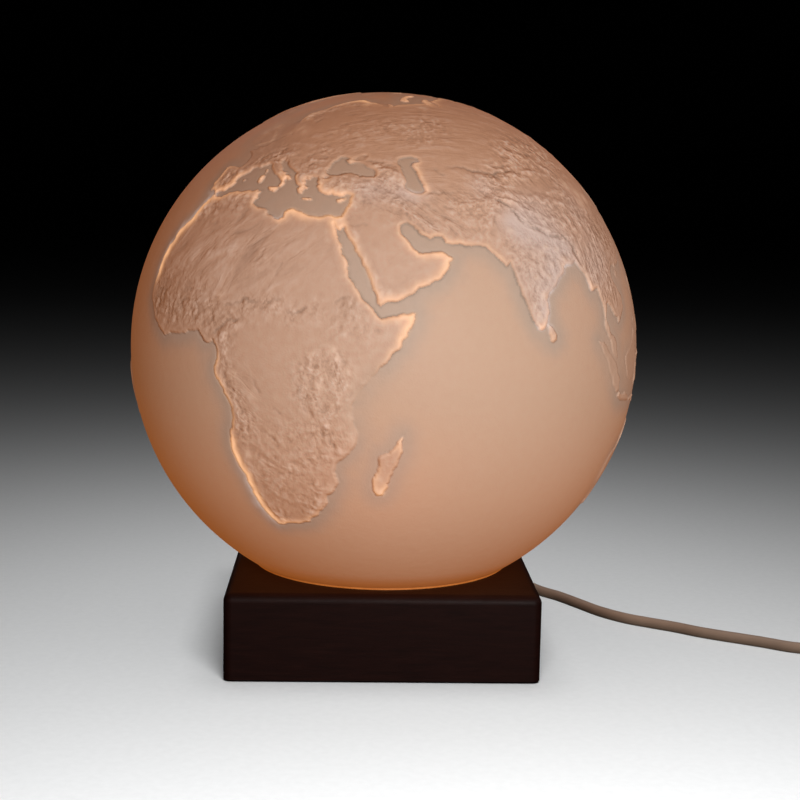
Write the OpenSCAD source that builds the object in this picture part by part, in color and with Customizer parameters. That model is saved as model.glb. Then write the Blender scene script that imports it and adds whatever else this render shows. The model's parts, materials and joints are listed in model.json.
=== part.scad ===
// Globe table lamp: a translucent relief globe standing on a square wooden base,
// lit from inside by a small screw-cap bulb. Millimetres, +Z up, origin on the
// table under the centre of the base, front of the lamp towards -Y.

/* [Globe] */
// Outer diameter of the globe
globe_d = 220; // [210:1:230]
// Wall thickness of the globe
globe_wall = 3.5; // [2.5:0.1:4]
// Height of the globe's centre above the top of the base
globe_rise = 94.7; // [93:0.1:96]
// Radius of the round opening in the bottom of the globe
opening_r = 49; // [48.9:0.1:49.4]
// Thickness of the translucent ring that the globe stands on
seat_t = 0.8; // [0.6:0.1:1]

/* [Base] */
// Width and depth of the square base
base_w = 130; // [126:1:150]
// Height of the base's top above the table
base_top = 37; // [36:0.5:40]
// Radius of the base's rounded edges
base_round = 3.5; // [1.5:0.5:5]
// Radius of the hollow under the base
hollow_r = 48; // [46:1:49]

/* [Bulb and lampholder] */
// Diameter of the bulb's glass ball
bulb_d = 45; // [40:1:45]
// Outer diameter of the lampholder's shell
holder_d = 28; // [27.5:0.5:32]

/* [Cord] */
// Diameter of the two-core cord
cord_d = 5; // [4.8:0.1:5]
// Length of the tapered strain relief behind the base
relief_l = 26; // [24:1:26]

/* [Inline switch] */
// Length of the switch housing
switch_l = 62; // [60:1:62]
// Width of the switch housing
switch_w = 24; // [22:1:26]
// Height of the switch housing
switch_h = 17; // [17:0.5:18]

/* [Plug] */
// Diameter of the plug's pins
pin_d = 4; // [3.9:0.1:4.1]
// Distance between the plug's pins
pin_gap = 19; // [18.5:0.5:19]

/* [Hidden] */
$fn = 64;

// colours as they look on the lamp
WOOD = [0.17, 0.09, 0.07];
FELT = [0.08, 0.07, 0.07];
BLACK = [0.07, 0.07, 0.07];
STEEL = [0.66, 0.66, 0.68];
ALU = [0.78, 0.78, 0.79];
BRASS = [0.80, 0.63, 0.31];
CREAM = [0.93, 0.90, 0.82];
CORD = [0.50, 0.43, 0.38];
GLOBE = [0.93, 0.72, 0.58];
AMBER = [0.96, 0.62, 0.30];
OPAL = [0.97, 0.96, 0.92];

eps = 0.01;
cord_r = cord_d / 2;
bore_r = cord_r + 0.05;
globe_r = globe_d / 2;
rim_z = base_top + seat_t;
globe_z = base_top + globe_rise;
// felt pads, and the underside of the wood above the hollow
pad_t = 1;
ceiling = base_top - 9;
// where the cord leaves the back of the base
exit_z = 10;
back_y = base_w / 2;
// radius of the cord's bend under the threaded tube
bend_r = ceiling - exit_z;
holder_r = holder_d / 2;
// heights of the lampholder stack
cap_z = base_top + 1;
core_z = cap_z + 16;
sleeve_z = core_z + 8;
holder_top = cap_z + 53;
// heights of the bulb
tip_z = sleeve_z + 1.3;
glass_z = tip_z + 23.7;
ball_z = glass_z + 31.5;
// screw circles
cover_screw_r = 51.6;
gallery_screw_r = 38;
// inline switch, and its cord ports
switch_at = [243, -28, 0];
port_z = 7;
switch_split = 8;
rocker_rest = 8;
// back end of the plug, which lies flat behind the coil with its pins towards +Y
plug_at = [283, 84, 0];
pin_z = 6.85;
// coil of spare cord
coil_at = [322, 5, 0];
coil_mid = 27.5;

// route of the cord from the strain relief round the back corner of the base to the switch
LEAD = [[0, 88, 10], [0, 94, 10], [1, 105, 9], [8, 118, 5], [20, 127, 2.5], [38, 130, 2.5],
    [55, 122, 2.5], [66, 106, 2.5], [73, 89, 2.5], [82, 71, 2.5], [90, 61, 2.5],
    [98, 48, 2.5], [106, 35, 2.5], [116, 24, 2.5], [126, 17, 2.5], [137, 10, 2.5],
    [146, 3, 2.5], [154, -2, 2.5], [170, -11, 2.5], [185, -20, 2.5],
    [197, -26, 4.2], [207, -28, 6.8], [212, -28, 7], [216, -28, 7]];
// from the switch to the outer turn of the coil
TAIL = [[270, -28, 7], [274, -28, 7], [281, -28, 6.4], [292, -28, 3.5], [304, -28, 2.5],
    [322, -27.5, 2.5], [334, -25, 2.5]];
// from the top of the coil, over its outer turn and down to the plug
END = [[342, 24, 12.5], [333, 32, 15.6], [321, 37, 17.4], [309, 39.2, 15],
    [298.8, 41.4, 11.5], [291.6, 45.6, 9], [286.6, 52, 7.6], [284, 58.4, 7],
    [283, 64, 6.85], [283, 69, 6.85], [283, 78, 6.85]];

function turned(a, b, c, d, t) = 0.5 * (2 * b + (c - a) * t
    + (2 * a - 5 * b + 4 * c - d) * t * t + (3 * b - a - 3 * c + d) * t * t * t);
function at(p, i) = i < 0 ? 2 * p[0] - p[1]
    : i >= len(p) ? 2 * p[len(p) - 1] - p[len(p) - 2] : p[i];
function smooth(p, n) = concat([for (i = [0:len(p) - 2]) for (k = [0:n - 1])
    turned(at(p, i - 1), at(p, i), at(p, i + 1), at(p, i + 2), k / n)], [p[len(p) - 1]]);
function unit(v) = v / norm(v);
function heading(p, i) = unit(p[min(i + 1, len(p) - 1)] - p[max(i - 1, 0)]);
function ring(c, h, r, s, up) = let (a = unit(cross(h, up)), b = cross(a, h))
    [for (k = [0:s - 1]) c + r * (cos(360 * k / s) * a + sin(360 * k / s) * b)];

// a round tube swept along a list of points; no stretch of it may run along up
module swept(p, r, s = 12, up = [0, 0, 1]) {
    n = len(p);
    points = [for (i = [0:n - 1]) each ring(p[i], heading(p, i), r, s, up)];
    faces = concat([[for (k = [0:s - 1]) s - 1 - k]],
        [for (i = [0:n - 2]) for (k = [0:s - 1])
            [i * s + k, i * s + (k + 1) % s, (i + 1) * s + (k + 1) % s, (i + 1) * s + k]],
        [[for (k = [0:s - 1]) (n - 1) * s + k]]);
    polyhedron(points, faces, convexity = 6);
}

// upright block with rounded vertical edges and a rounded top edge
module soft_block(l, w, h, r) {
    x = l / 2 - r;
    y = w / 2 - r;
    union() {
        translate([-x, -w / 2, 0]) cube([2 * x, w, h - r]);
        translate([-l / 2, -y, 0]) cube([l, 2 * y, h - r]);
        translate([-x, -y, 0]) cube([2 * x, 2 * y, h]);
        for (a = [-1, 1]) for (b = [-1, 1]) translate([a * x, b * y, 0]) {
            cylinder(r = r, h = h - r);
            translate([0, 0, h - r]) sphere(r = r);
        }
        for (b = [-1, 1]) translate([-x, b * y, h - r]) rotate([0, 90, 0]) cylinder(r = r, h = 2 * x);
        for (a = [-1, 1]) translate([a * x, -y, h - r]) rotate([-90, 0, 0]) cylinder(r = r, h = 2 * y);
    }
}

// tube standing on the origin
module tube(ro, ri, h) {
    difference() {
        cylinder(r = ro, h = h);
        translate([0, 0, -1]) cylinder(r = ri, h = h + 2);
    }
}

// cross recess for a screw head, cut downwards from z = 0
module cross_cut(s, d) {
    translate([-s / 2, -s / 8, -d]) cube([s, s / 4, d + 1]);
    translate([-s / 8, -s / 2, -d]) cube([s / 4, s, d + 1]);
}

// ribbed, tapering sleeve along +Z: from radius ra at z = 0 to rb at z = l
module ribbed_taper(ra, rb, l, n) {
    pitch = l / n;
    rotate_extrude() polygon(concat([[bore_r, 0]],
        [for (i = [0:n - 1]) let (r0 = ra + (rb - ra) * i / n, z0 = i * pitch)
            each [[r0, z0], [r0 - 0.1, z0 + pitch * 0.58],
                [r0 - 0.9, z0 + pitch * 0.66], [r0 - 1, z0 + pitch]]],
        [[bore_r, l]]));
}

// ---- base ----

module base_block() {
    color(WOOD) difference() {
        translate([0, 0, pad_t]) soft_block(base_w, base_w, base_top - pad_t, base_round);
        // hollow for the wiring, and the recess that the cover lies in
        translate([0, 0, 3]) cylinder(r = hollow_r, h = ceiling - 3);
        translate([0, 0, 0]) cylinder(r = 55.3, h = 3 + eps);
        // way up for the threaded tube
        cylinder(r = 5.3, h = base_top + 1);
        // way out for the cord
        translate([0, 36, exit_z]) rotate([-90, 0, 0]) cylinder(r = 5, h = base_w);
        // pilot holes
        for (a = [45:90:315]) rotate(a) translate([cover_screw_r, 0, 2]) cylinder(r = 1.5, h = 11);
        for (a = [90:120:330]) rotate(a) translate([gallery_screw_r, 0, base_top - 8])
            cylinder(r = 1.3, h = 9);
        for (x = [-9, 9]) translate([x, 38, ceiling - 1]) cylinder(r = 1.5, h = 7.5);
    }
}

module base_pads() {
    s = base_w / 2 - 7.5;
    color(FELT) for (x = [-s, s]) for (y = [-s, s]) translate([x, y, 0]) cylinder(r = 5, h = pad_t);
}

module bottom_cover() {
    color(BLACK) difference() {
        translate([0, 0, 1]) cylinder(r = 55, h = 2);
        for (a = [45:90:315]) rotate(a) translate([cover_screw_r, 0, 0]) {
            cylinder(r = 1.6, h = 4);
            translate([0, 0, 1 - eps]) cylinder(r1 = 3.2, r2 = 1.6, h = 1.6);
        }
    }
}

module cover_screws() {
    color(STEEL) for (a = [45:90:315]) rotate(a) translate([cover_screw_r, 0, 1]) difference() {
        union() {
            cylinder(r1 = 3.05, r2 = 1.42, h = 1.63);
            translate([0, 0, 1.6]) cylinder(r = 1.42, h = 8);
            translate([0, 0, 9.6 - eps]) cylinder(r1 = 1.42, r2 = 0.3, h = 1.6);
        }
        mirror([0, 0, 1]) cross_cut(3.2, 0.9);
    }
}

// low spun dish that centres the globe and carries the lampholder
module gallery_plate() {
    color(ALU) difference() {
        translate([0, 0, base_top]) rotate_extrude() {
            polygon([[5.2, 0], [48.3, 0], [48.3, 4.6], [47.3, 4.6], [47.3, 1], [5.2, 1]]);
            translate([47.5, 4.8]) circle(r = 0.8, $fn = 32);
        }
        for (a = [90:120:330]) rotate(a) translate([gallery_screw_r, 0, base_top - 1])
            cylinder(r = 1.6, h = 3);
    }
}

module gallery_screws() {
    color(STEEL) for (a = [90:120:330]) rotate(a) translate([gallery_screw_r, 0, base_top + 1])
        difference() {
            union() {
                intersection() {
                    translate([0, 0, -1.7]) sphere(r = 3.5);
                    cylinder(r = 2.9, h = 4);
                }
                translate([0, 0, -8]) cylinder(r = 1.22, h = 8 + eps);
            }
            translate([0, 0, 1.85]) cross_cut(2.6, 1);
        }
}

module threaded_tube() {
    color(BRASS) translate([0, 0, ceiling - 5.5]) tube(5, 4, 23.5);
}

module tube_nut() {
    color(STEEL) translate([0, 0, ceiling - 4.7]) difference() {
        cylinder(r = 8.1, h = 3.5, $fn = 6);
        translate([0, 0, -1]) cylinder(r = 5.05, h = 6);
    }
}

module tube_washer() {
    color(STEEL) translate([0, 0, ceiling - 1.2]) tube(10.5, 5.3, 1.2);
}

// ---- lampholder ----

module holder_cap() {
    color(CREAM) translate([0, 0, cap_z]) difference() {
        union() {
            cylinder(r = 13, h = 12);
            cylinder(r = 11.8, h = 16);
        }
        translate([0, 0, -1]) cylinder(r = 5.05, h = 5);
        translate([0, 0, 3]) cylinder(r = 10.4, h = 14);
    }
}

module holder_shell() {
    color(CREAM) translate([0, 0, cap_z + 12]) difference() {
        union() {
            cylinder(r = holder_r, h = 41);
            for (z = [4, 37]) translate([0, 0, z]) rotate_extrude()
                translate([holder_r, 0]) circle(r = 0.8, $fn = 24);
        }
        translate([0, 0, -1]) cylinder(r = 12, h = 35);
        cylinder(r = 9, h = 42);
    }
}

module holder_core() {
    color(OPAL) translate([0, 0, core_z]) difference() {
        cylinder(r = 11.7, h = 8);
        // pockets for the two brass terminals
        for (x = [-7.5, 7.5]) translate([x - 2.05, -4.55, -1]) cube([4.1, 9.1, 7.1]);
        // seat of the centre contact
        translate([0, 0, 6.8]) cylinder(r = 3.1, h = 2);
    }
}

module holder_terminals() {
    color(BRASS) for (x = [-7.5, 7.5]) translate([x, 0, core_z]) difference() {
        translate([-2, -4.5, 0]) cube([4, 9, 6]);
        translate([0, -2.5, -1]) cylinder(r = 0.95, h = 5);
        translate([0, 2.4, -1]) cylinder(r = 1.05, h = 6);
    }
}

module holder_terminal_screws() {
    color(STEEL) for (x = [-7.5, 7.5]) translate([x, 2.4, core_z]) difference() {
        union() {
            translate([0, 0, -1.4]) cylinder(r = 1.7, h = 1.4);
            cylinder(r = 1, h = 4.5);
        }
        translate([-2, -0.25, -2]) cube([4, 0.5, 1.1]);
    }
}

module holder_thread_sleeve() {
    color(BRASS) translate([0, 0, sleeve_z]) rotate_extrude()
        polygon([[7.25, 0], [9.5, 0], [9.5, 0.5], [7.7, 0.5], [7.7, 21.5], [8.6, 21.5], [8.6, 22], [7.25, 22]]);
}

module holder_centre_contact() {
    color(BRASS) translate([0, 0, sleeve_z - 1.2]) {
        cylinder(r = 2.9, h = 0.6);
        cylinder(r = 1.8, h = 2.3);
    }
}

// ---- wiring inside the base ----

// sheathed cord from the strain relief, up through the threaded tube
module cord_inner() {
    color(CORD) {
        translate([0, bend_r, exit_z]) rotate([-90, 0, 0]) cylinder(r = cord_r, h = 88 - bend_r);
        translate([0, bend_r, exit_z + bend_r]) rotate([0, -90, 0]) rotate(180)
            rotate_extrude(angle = 90) translate([bend_r, 0]) circle(r = cord_r, $fn = 48);
        translate([0, 0, exit_z + bend_r]) cylinder(r = cord_r, h = 19.5);
    }
}

module core_wire(s) {
    z = core_z;
    swept(smooth([[1.2 * s, 0, z - 6.5], [1.5 * s, -0.1, z - 5.5], [4 * s, -1.2, z - 3.5],
        [6.8 * s, -2.3, z - 2], [7.5 * s, -2.5, z], [7.5 * s, -2.5, z + 2.5]], 2), 0.9, 8, [0, 1, 0]);
}

module live_wire() {
    color([0.36, 0.20, 0.12]) core_wire(1);
}

module neutral_wire() {
    color([0.16, 0.28, 0.55]) core_wire(-1);
}

// rubber strain relief: held in the back wall, tapering outside
module cord_relief() {
    color(BLACK) translate([0, back_y, exit_z]) rotate([-90, 0, 0]) {
        translate([0, 0, -17.5]) tube(4.9, bore_r, 17.5 + eps);
        translate([0, 0, -19.5]) tube(6, bore_r, 2);
        tube(7, bore_r, 2);
        translate([0, 0, 2 - eps]) ribbed_taper(5.4, 4.2, relief_l - 2, 6);
    }
}

module cord_anchor() {
    color(BLACK) difference() {
        translate([-13, 33, 11]) cube([26, 10, ceiling - 11]);
        translate([0, 32, exit_z]) rotate([-90, 0, 0]) cylinder(r = bore_r, h = 12);
        for (x = [-9, 9]) translate([x, 38, 10]) cylinder(r = 1.6, h = ceiling - 9);
    }
}

module cord_saddle() {
    color(BLACK) difference() {
        translate([-13, 34, 6]) cube([26, 8, 3]);
        translate([0, 33, exit_z]) rotate([-90, 0, 0]) cylinder(r = bore_r, h = 10);
        for (x = [-9, 9]) translate([x, 38, 5]) cylinder(r = 1.6, h = 5);
    }
}

module anchor_screws() {
    color(STEEL) for (x = [-9, 9]) translate([x, 38, 0]) difference() {
        union() {
            translate([0, 0, 4.2]) cylinder(r = 2.8, h = 1.8);
            translate([0, 0, 6 - eps]) cylinder(r = 1.45, h = ceiling);
        }
        translate([0, 0, 4.2]) mirror([0, 0, 1]) cross_cut(3, 0.9);
    }
}

// ---- globe ----

module globe_seat() {
    color(AMBER) translate([0, 0, base_top]) tube(56.2, opening_r, seat_t);
}

// both halves are cut from the same pair of spheres, and meet at the middle
module globe_ball() {
    difference() {
        translate([0, 0, globe_z]) sphere(r = globe_r, $fn = 96);
        translate([0, 0, globe_z]) sphere(r = globe_r - globe_wall, $fn = 96);
    }
}

module globe_lower() {
    color(GLOBE) difference() {
        union() {
            globe_ball();
            // thickened lip round the opening
            translate([0, 0, rim_z]) tube(55, opening_r, 3);
        }
        translate([0, 0, -2]) cylinder(r = globe_r, h = rim_z + 2);
        cylinder(r = opening_r, h = rim_z + 5);
        translate([0, 0, globe_z]) cylinder(r = globe_r + 5, h = globe_r + 5);
    }
}

module globe_upper() {
    color(GLOBE) difference() {
        globe_ball();
        cylinder(r = globe_r + 5, h = globe_z);
    }
}

// ---- bulb ----

module bulb_outline(t) {
    r = bulb_d / 2 - t;
    intersection() {
        union() {
            translate([0, ball_z]) circle(r = r, $fn = 96);
            polygon([[0, glass_z], [7 - t, glass_z], [7.4 - t, glass_z + 4],
                [bulb_d * 0.39 - t, ball_z - bulb_d * 0.31], [0, ball_z]]);
        }
        translate([0, glass_z - 1]) square([bulb_d, bulb_d + 20]);
    }
}

module bulb_glass() {
    color(OPAL) rotate_extrude() difference() {
        bulb_outline(0);
        translate([0, -eps]) bulb_outline(0.9);
    }
}

module bulb_cap() {
    z0 = tip_z + 4.2;
    n = 5;
    pitch = 2.82;
    color(STEEL) difference() {
        rotate_extrude() polygon(concat([[0, z0], [6.4, z0]],
            [for (i = [0:n - 1]) each [[6.45, z0 + 0.6 + i * pitch], [6.9, z0 + 1.6 + i * pitch],
                [6.9, z0 + 2.1 + i * pitch]]],
            [[6.45, z0 + 0.6 + n * pitch], [7.1, z0 + 16.4], [7.1, glass_z], [0, glass_z]]));
        translate([0, 0, z0 + 1]) cylinder(r = 5.9, h = 30);
    }
}

module bulb_insulator() {
    color(BLACK) translate([0, 0, tip_z + 1.4]) cylinder(r1 = 3, r2 = 6.2, h = 2.8);
}

module bulb_tip() {
    color(ALU) translate([0, 0, tip_z]) intersection() {
        translate([0, 0, 3.4]) sphere(r = 3.4);
        cylinder(r = 3, h = 1.4);
    }
}

module bulb_stem() {
    color([0.85, 0.90, 0.90]) translate([0, 0, glass_z - 17]) {
        cylinder(r1 = 5.2, r2 = 3, h = 18);
        translate([0, 0, 18 - eps]) cylinder(r = 2.2, h = 16);
        translate([0, 0, 34 - eps]) sphere(r = 2.2);
    }
}

module bulb_filament() {
    z = ball_z + 2;
    color([0.95, 0.75, 0.35]) {
        translate([0, 0, z]) rotate(30) rotate_extrude(angle = 300)
            translate([9, 0]) circle(r = 0.35, $fn = 16);
        for (a = [30, 330]) rotate(a) translate([9, 0, glass_z + 17]) cylinder(r = 0.35, h = z - glass_z - 17);
        for (a = [30, 330]) rotate(a) translate([1.5, 0, glass_z + 17]) rotate([0, 90, 0])
            cylinder(r = 0.35, h = 7.85);
    }
}

// ---- free cord ----

module cord_lead() {
    color(CORD) swept(smooth(LEAD, 1), cord_r);
}

module cord_tail() {
    color(CORD) swept(smooth(TAIL, 2), cord_r);
}

module cord_end() {
    color(CORD) swept(smooth(END, 2), cord_r);
}

module cord_coil() {
    color(CORD) translate(coil_at) rotate_extrude() {
        translate([coil_mid - 7.5, 1.5]) square([15, 12]);
        translate([coil_mid - 6, 0]) square([12, 15]);
        for (x = [-6, 6]) for (y = [1.5, 13.5]) translate([coil_mid + x, y]) circle(r = 1.5, $fn = 24);
    }
}

// ---- inline switch ----

// channel for the cord through the ends of the housing
module switch_ports() {
    for (s = [0, 180]) rotate(s) translate([22, 0, port_z]) rotate([0, 90, 0]) cylinder(r = bore_r, h = 20);
}

module switch_screw_holes(r) {
    for (s = [0, 180]) rotate(s) translate([26, 7.5, -1]) cylinder(r = r, h = 13);
}

module switch_base() {
    color(BLACK) translate(switch_at) difference() {
        translate([0, 0, switch_split]) mirror([0, 0, 1])
            soft_block(switch_l, switch_w, switch_split, 3);
        translate([-23, -9.5, 2]) cube([46, 19, 10]);
        switch_ports();
        switch_screw_holes(1.35);
        for (s = [0, 180]) rotate(s) translate([26, 7.5, -1]) cylinder(r = 2.5, h = 3.2);
    }
}

module switch_cover() {
    color(BLACK) translate(switch_at) difference() {
        union() {
            difference() {
                translate([0, 0, switch_split])
                    soft_block(switch_l, switch_w, switch_h - switch_split, 3);
                translate([-23, -9.5, switch_split - 1]) cube([46, 19, switch_h - switch_split - 1]);
            }
            // lugs that carry the rocker's pins
            for (y = [-7.2, 4.7]) translate([-3, y, 11]) cube([6, 2.5, switch_h - 12]);
        }
        translate([-7.6, -4.6, 14]) cube([15.2, 9.2, 6]);
        translate([0, -8, 13]) rotate([-90, 0, 0]) cylinder(r = 1.05, h = 16);
        switch_ports();
        switch_screw_holes(1.3);
    }
}

module switch_screws() {
    color(STEEL) translate(switch_at) for (s = [0, 180]) rotate(s) translate([26, 7.5, 0]) difference() {
        union() {
            translate([0, 0, 0.5]) cylinder(r = 2.4, h = 1.7);
            translate([0, 0, 2]) cylinder(r = 1.25, h = 9.5);
        }
        translate([0, 0, 0.5]) mirror([0, 0, 1]) cross_cut(2.8, 0.9);
    }
}

module switch_contacts() {
    color(BRASS) translate(switch_at) {
        for (x = [-20, 14]) translate([x, -7, 2]) cube([6, 5, 4]);
        translate([-14, -5.5, 2]) cube([28, 2, 0.8]);
        translate([-6, -5, 2.79]) cube([2, 3, 3]);
        translate([-6, -2.01, 2.79]) cube([2, 4, 0.8]);
    }
}

module switch_rocker() {
    color([0.11, 0.11, 0.11]) translate(switch_at + [0, 0, 13]) rotate([0, rocker_rest, 0]) {
        translate([0, 4.3, 0]) rotate([90, 0, 0]) linear_extrude(8.6)
            polygon([[-6.7, 0.8], [-6.7, 5.6], [0, 4.6], [6.7, 5.6], [6.7, 0.8], [2, -2.5], [-2, -2.5]]);
        translate([0, -6.9, 0]) rotate([-90, 0, 0]) cylinder(r = 1, h = 13.8);
    }
}

// ---- plug ----

// the plug's pieces are drawn with the pins towards -X
module at_plug() {
    translate(plug_at) rotate(-90) children();
}

module plug_body() {
    color(BLACK) at_plug() difference() {
        linear_extrude(13.7) polygon([[-40, -17.6], [-24, -17.6], [-10, -11], [0, -8],
            [0, 8], [-10, 11], [-24, 17.6], [-40, 17.6]]);
        for (y = [-1, 1]) translate([-41, y * pin_gap / 2, pin_z]) rotate([0, 90, 0]) cylinder(r = 1.35, h = 7);
        translate([-6, 0, pin_z]) rotate([0, 90, 0]) cylinder(r = bore_r, h = 7);
    }
}

module plug_relief() {
    color(BLACK) at_plug() translate([0, 0, pin_z]) rotate([0, 90, 0]) ribbed_taper(5.4, 4.2, 20, 5);
}

module plug_pins() {
    color(STEEL) at_plug() translate([-40, 0, pin_z]) for (y = [-1, 1])
        translate([0, y * pin_gap / 2, 0]) rotate([0, -90, 0]) {
            translate([0, 0, -5]) cylinder(r = 1.3, h = 15 + eps);
            translate([0, 0, 10]) cylinder(r = pin_d / 2, h = 7);
            translate([0, 0, 17]) sphere(r = pin_d / 2);
        }
}

module plug_sleeves() {
    color(BLACK) at_plug() translate([-40, 0, pin_z]) for (y = [-1, 1])
        translate([0, y * pin_gap / 2, 0]) rotate([0, -90, 0]) tube(1.8, 1.32, 10);
}

base_block();
base_pads();
bottom_cover();
cover_screws();
gallery_plate();
gallery_screws();
threaded_tube();
tube_nut();
tube_washer();
holder_cap();
holder_shell();
holder_core();
holder_thread_sleeve();
holder_centre_contact();
holder_terminals();
holder_terminal_screws();
live_wire();
neutral_wire();
cord_inner();
cord_relief();
cord_anchor();
cord_saddle();
anchor_screws();
globe_seat();
globe_lower();
globe_upper();
bulb_glass();
bulb_cap();
bulb_insulator();
bulb_tip();
bulb_stem();
bulb_filament();
cord_lead();
cord_tail();
cord_coil();
cord_end();
switch_base();
switch_cover();
switch_screws();
switch_contacts();
switch_rocker();
plug_body();
plug_relief();
plug_pins();
plug_sleeves();
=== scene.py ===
"""Looks for the globe table lamp: relief globe, base, lampholder, bulb, cord, switch and plug.
Metres, +Z up, origin on the table under the centre of the base, front towards -Y."""

import json
import math

import bpy
import numpy as np
from mathutils import Matrix, Vector, kdtree

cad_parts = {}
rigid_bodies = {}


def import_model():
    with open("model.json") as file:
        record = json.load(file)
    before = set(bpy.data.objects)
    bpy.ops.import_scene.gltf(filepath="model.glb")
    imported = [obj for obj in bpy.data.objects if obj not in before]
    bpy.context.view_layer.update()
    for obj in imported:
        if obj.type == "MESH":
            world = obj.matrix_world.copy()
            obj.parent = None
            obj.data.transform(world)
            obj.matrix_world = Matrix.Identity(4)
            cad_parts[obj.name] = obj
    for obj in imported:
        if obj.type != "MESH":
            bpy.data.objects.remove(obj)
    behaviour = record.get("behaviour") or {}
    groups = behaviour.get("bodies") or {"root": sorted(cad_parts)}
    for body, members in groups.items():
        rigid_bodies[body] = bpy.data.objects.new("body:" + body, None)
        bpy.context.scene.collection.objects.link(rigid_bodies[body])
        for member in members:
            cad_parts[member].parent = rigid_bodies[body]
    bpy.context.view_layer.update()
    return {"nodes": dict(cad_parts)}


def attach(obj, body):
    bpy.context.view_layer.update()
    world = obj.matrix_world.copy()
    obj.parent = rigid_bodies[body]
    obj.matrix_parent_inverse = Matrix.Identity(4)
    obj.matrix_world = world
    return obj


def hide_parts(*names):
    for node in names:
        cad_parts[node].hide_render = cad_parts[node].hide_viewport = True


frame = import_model()
NODES = frame["nodes"]
scene = bpy.context.scene
scene.view_settings.view_transform = "Standard"
scene.view_settings.look = "None"

# ---------------------------------------------------------------- camera
RIGHT = Vector((0.99932014, -0.03184775, 0.01857376))
UP = Vector((-0.01392252, 0.14050137, 0.98998259))
AHEAD = Vector((0.03413836, 0.98956813, -0.13996245))
EYE = Vector((-0.014999, -0.650729, 0.200138))
camera = bpy.data.objects.new("camera", bpy.data.cameras.new("camera"))
scene.collection.objects.link(camera)
turn = Matrix((RIGHT, UP, -AHEAD)).transposed()
camera.matrix_world = Matrix.Translation(EYE) @ turn.to_4x4()
camera.data.sensor_width = 36.0
camera.data.lens = 1486.705 * 36.0 / 800.0
camera.data.clip_start = 0.01
camera.data.clip_end = 60.0
scene.camera = camera


# ---------------------------------------------------------------- helpers
def link(obj):
    scene.collection.objects.link(obj)
    return obj


def new_mesh(name, verts, faces, smooth=True):
    me = bpy.data.meshes.new(name)
    me.from_pydata([tuple(map(float, v)) for v in verts], [], [tuple(map(int, f)) for f in faces])
    me.validate()
    me.update()
    if smooth:
        me.polygons.foreach_set("use_smooth", np.ones(len(me.polygons), bool))
    return link(bpy.data.objects.new(name, me))


class Nodes:
    """Short ways to add nodes to a material."""

    def __init__(self, name):
        self.m = bpy.data.materials.new(name)
        self.m.use_nodes = True
        self.t = self.m.node_tree
        self.t.nodes.clear()
        self.out = self.t.nodes.new("ShaderNodeOutputMaterial")
        self.b = self.t.nodes.new("ShaderNodeBsdfPrincipled")
        self.t.links.new(self.b.outputs["BSDF"], self.out.inputs["Surface"])
        self.coord = self.t.nodes.new("ShaderNodeTexCoord").outputs["Object"]

    def link(self, a, b):
        self.t.links.new(a, b)

    def mapping(self, scale, rotation=(0, 0, 0)):
        n = self.t.nodes.new("ShaderNodeMapping")
        n.inputs["Scale"].default_value = scale
        n.inputs["Rotation"].default_value = rotation
        self.link(self.coord, n.inputs["Vector"])
        return n.outputs["Vector"]

    def noise(self, scale, detail=3.0, vector=None, rough=0.55, distort=0.0):
        n = self.t.nodes.new("ShaderNodeTexNoise")
        n.inputs["Scale"].default_value = scale
        n.inputs["Detail"].default_value = detail
        n.inputs["Roughness"].default_value = rough
        n.inputs["Distortion"].default_value = distort
        self.link(vector if vector is not None else self.coord, n.inputs["Vector"])
        return n.outputs["Fac"]

    def attribute(self, name):
        n = self.t.nodes.new("ShaderNodeAttribute")
        n.attribute_name = name
        return n.outputs["Fac"]

    def remap(self, value, a, b, c=0.0, d=1.0, smooth=False):
        n = self.t.nodes.new("ShaderNodeMapRange")
        if smooth:
            n.interpolation_type = "SMOOTHSTEP"
        n.inputs["From Min"].default_value = a
        n.inputs["From Max"].default_value = b
        n.inputs["To Min"].default_value = c
        n.inputs["To Max"].default_value = d
        self.link(value, n.inputs["Value"])
        return n.outputs["Result"]

    def math(self, kind, a, b=None):
        n = self.t.nodes.new("ShaderNodeMath")
        n.operation = kind
        for i, v in enumerate((a, b)):
            if v is None:
                continue
            if isinstance(v, (int, float)):
                n.inputs[i].default_value = v
            else:
                self.link(v, n.inputs[i])
        return n.outputs["Value"]

    def mix(self, fac, a, b, kind="MIX"):
        n = self.t.nodes.new("ShaderNodeMix")
        n.data_type = "RGBA"
        n.blend_type = kind
        ins = {s.identifier: s for s in n.inputs}
        for s, v in ((ins["Factor_Float"], fac), (ins["A_Color"], a), (ins["B_Color"], b)):
            if isinstance(v, (int, float)):
                s.default_value = v
            elif isinstance(v, tuple):
                s.default_value = (*v, 1.0)
            else:
                self.link(v, s)
        return [s for s in n.outputs if s.identifier == "Result_Color"][0]

    def ramp(self, fac, stops):
        n = self.t.nodes.new("ShaderNodeValToRGB")
        e = n.color_ramp.elements
        while len(e) < len(stops):
            e.new(0.5)
        for el, (pos, col) in zip(e, stops):
            el.position = pos
            el.color = (*col, 1.0)
        self.link(fac, n.inputs["Fac"])
        return n.outputs["Color"]

    def z(self, axis="Z"):
        n = self.t.nodes.new("ShaderNodeSeparateXYZ")
        self.link(self.coord, n.inputs[0])
        return n.outputs[axis]

    def bump(self, height, distance, strength=1.0, normal=None):
        n = self.t.nodes.new("ShaderNodeBump")
        n.inputs["Strength"].default_value = strength
        n.inputs["Distance"].default_value = distance
        self.link(height, n.inputs["Height"])
        if normal is not None:
            self.link(normal, n.inputs["Normal"])
        return n.outputs["Normal"]

    def set(self, **values):
        for k, v in values.items():
            s = self.b.inputs[k.replace("_", " ")]
            if isinstance(v, tuple):
                s.default_value = (*v, 1.0)
            elif isinstance(v, (int, float)):
                s.default_value = v
            else:
                self.link(v, s)
        return self


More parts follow.
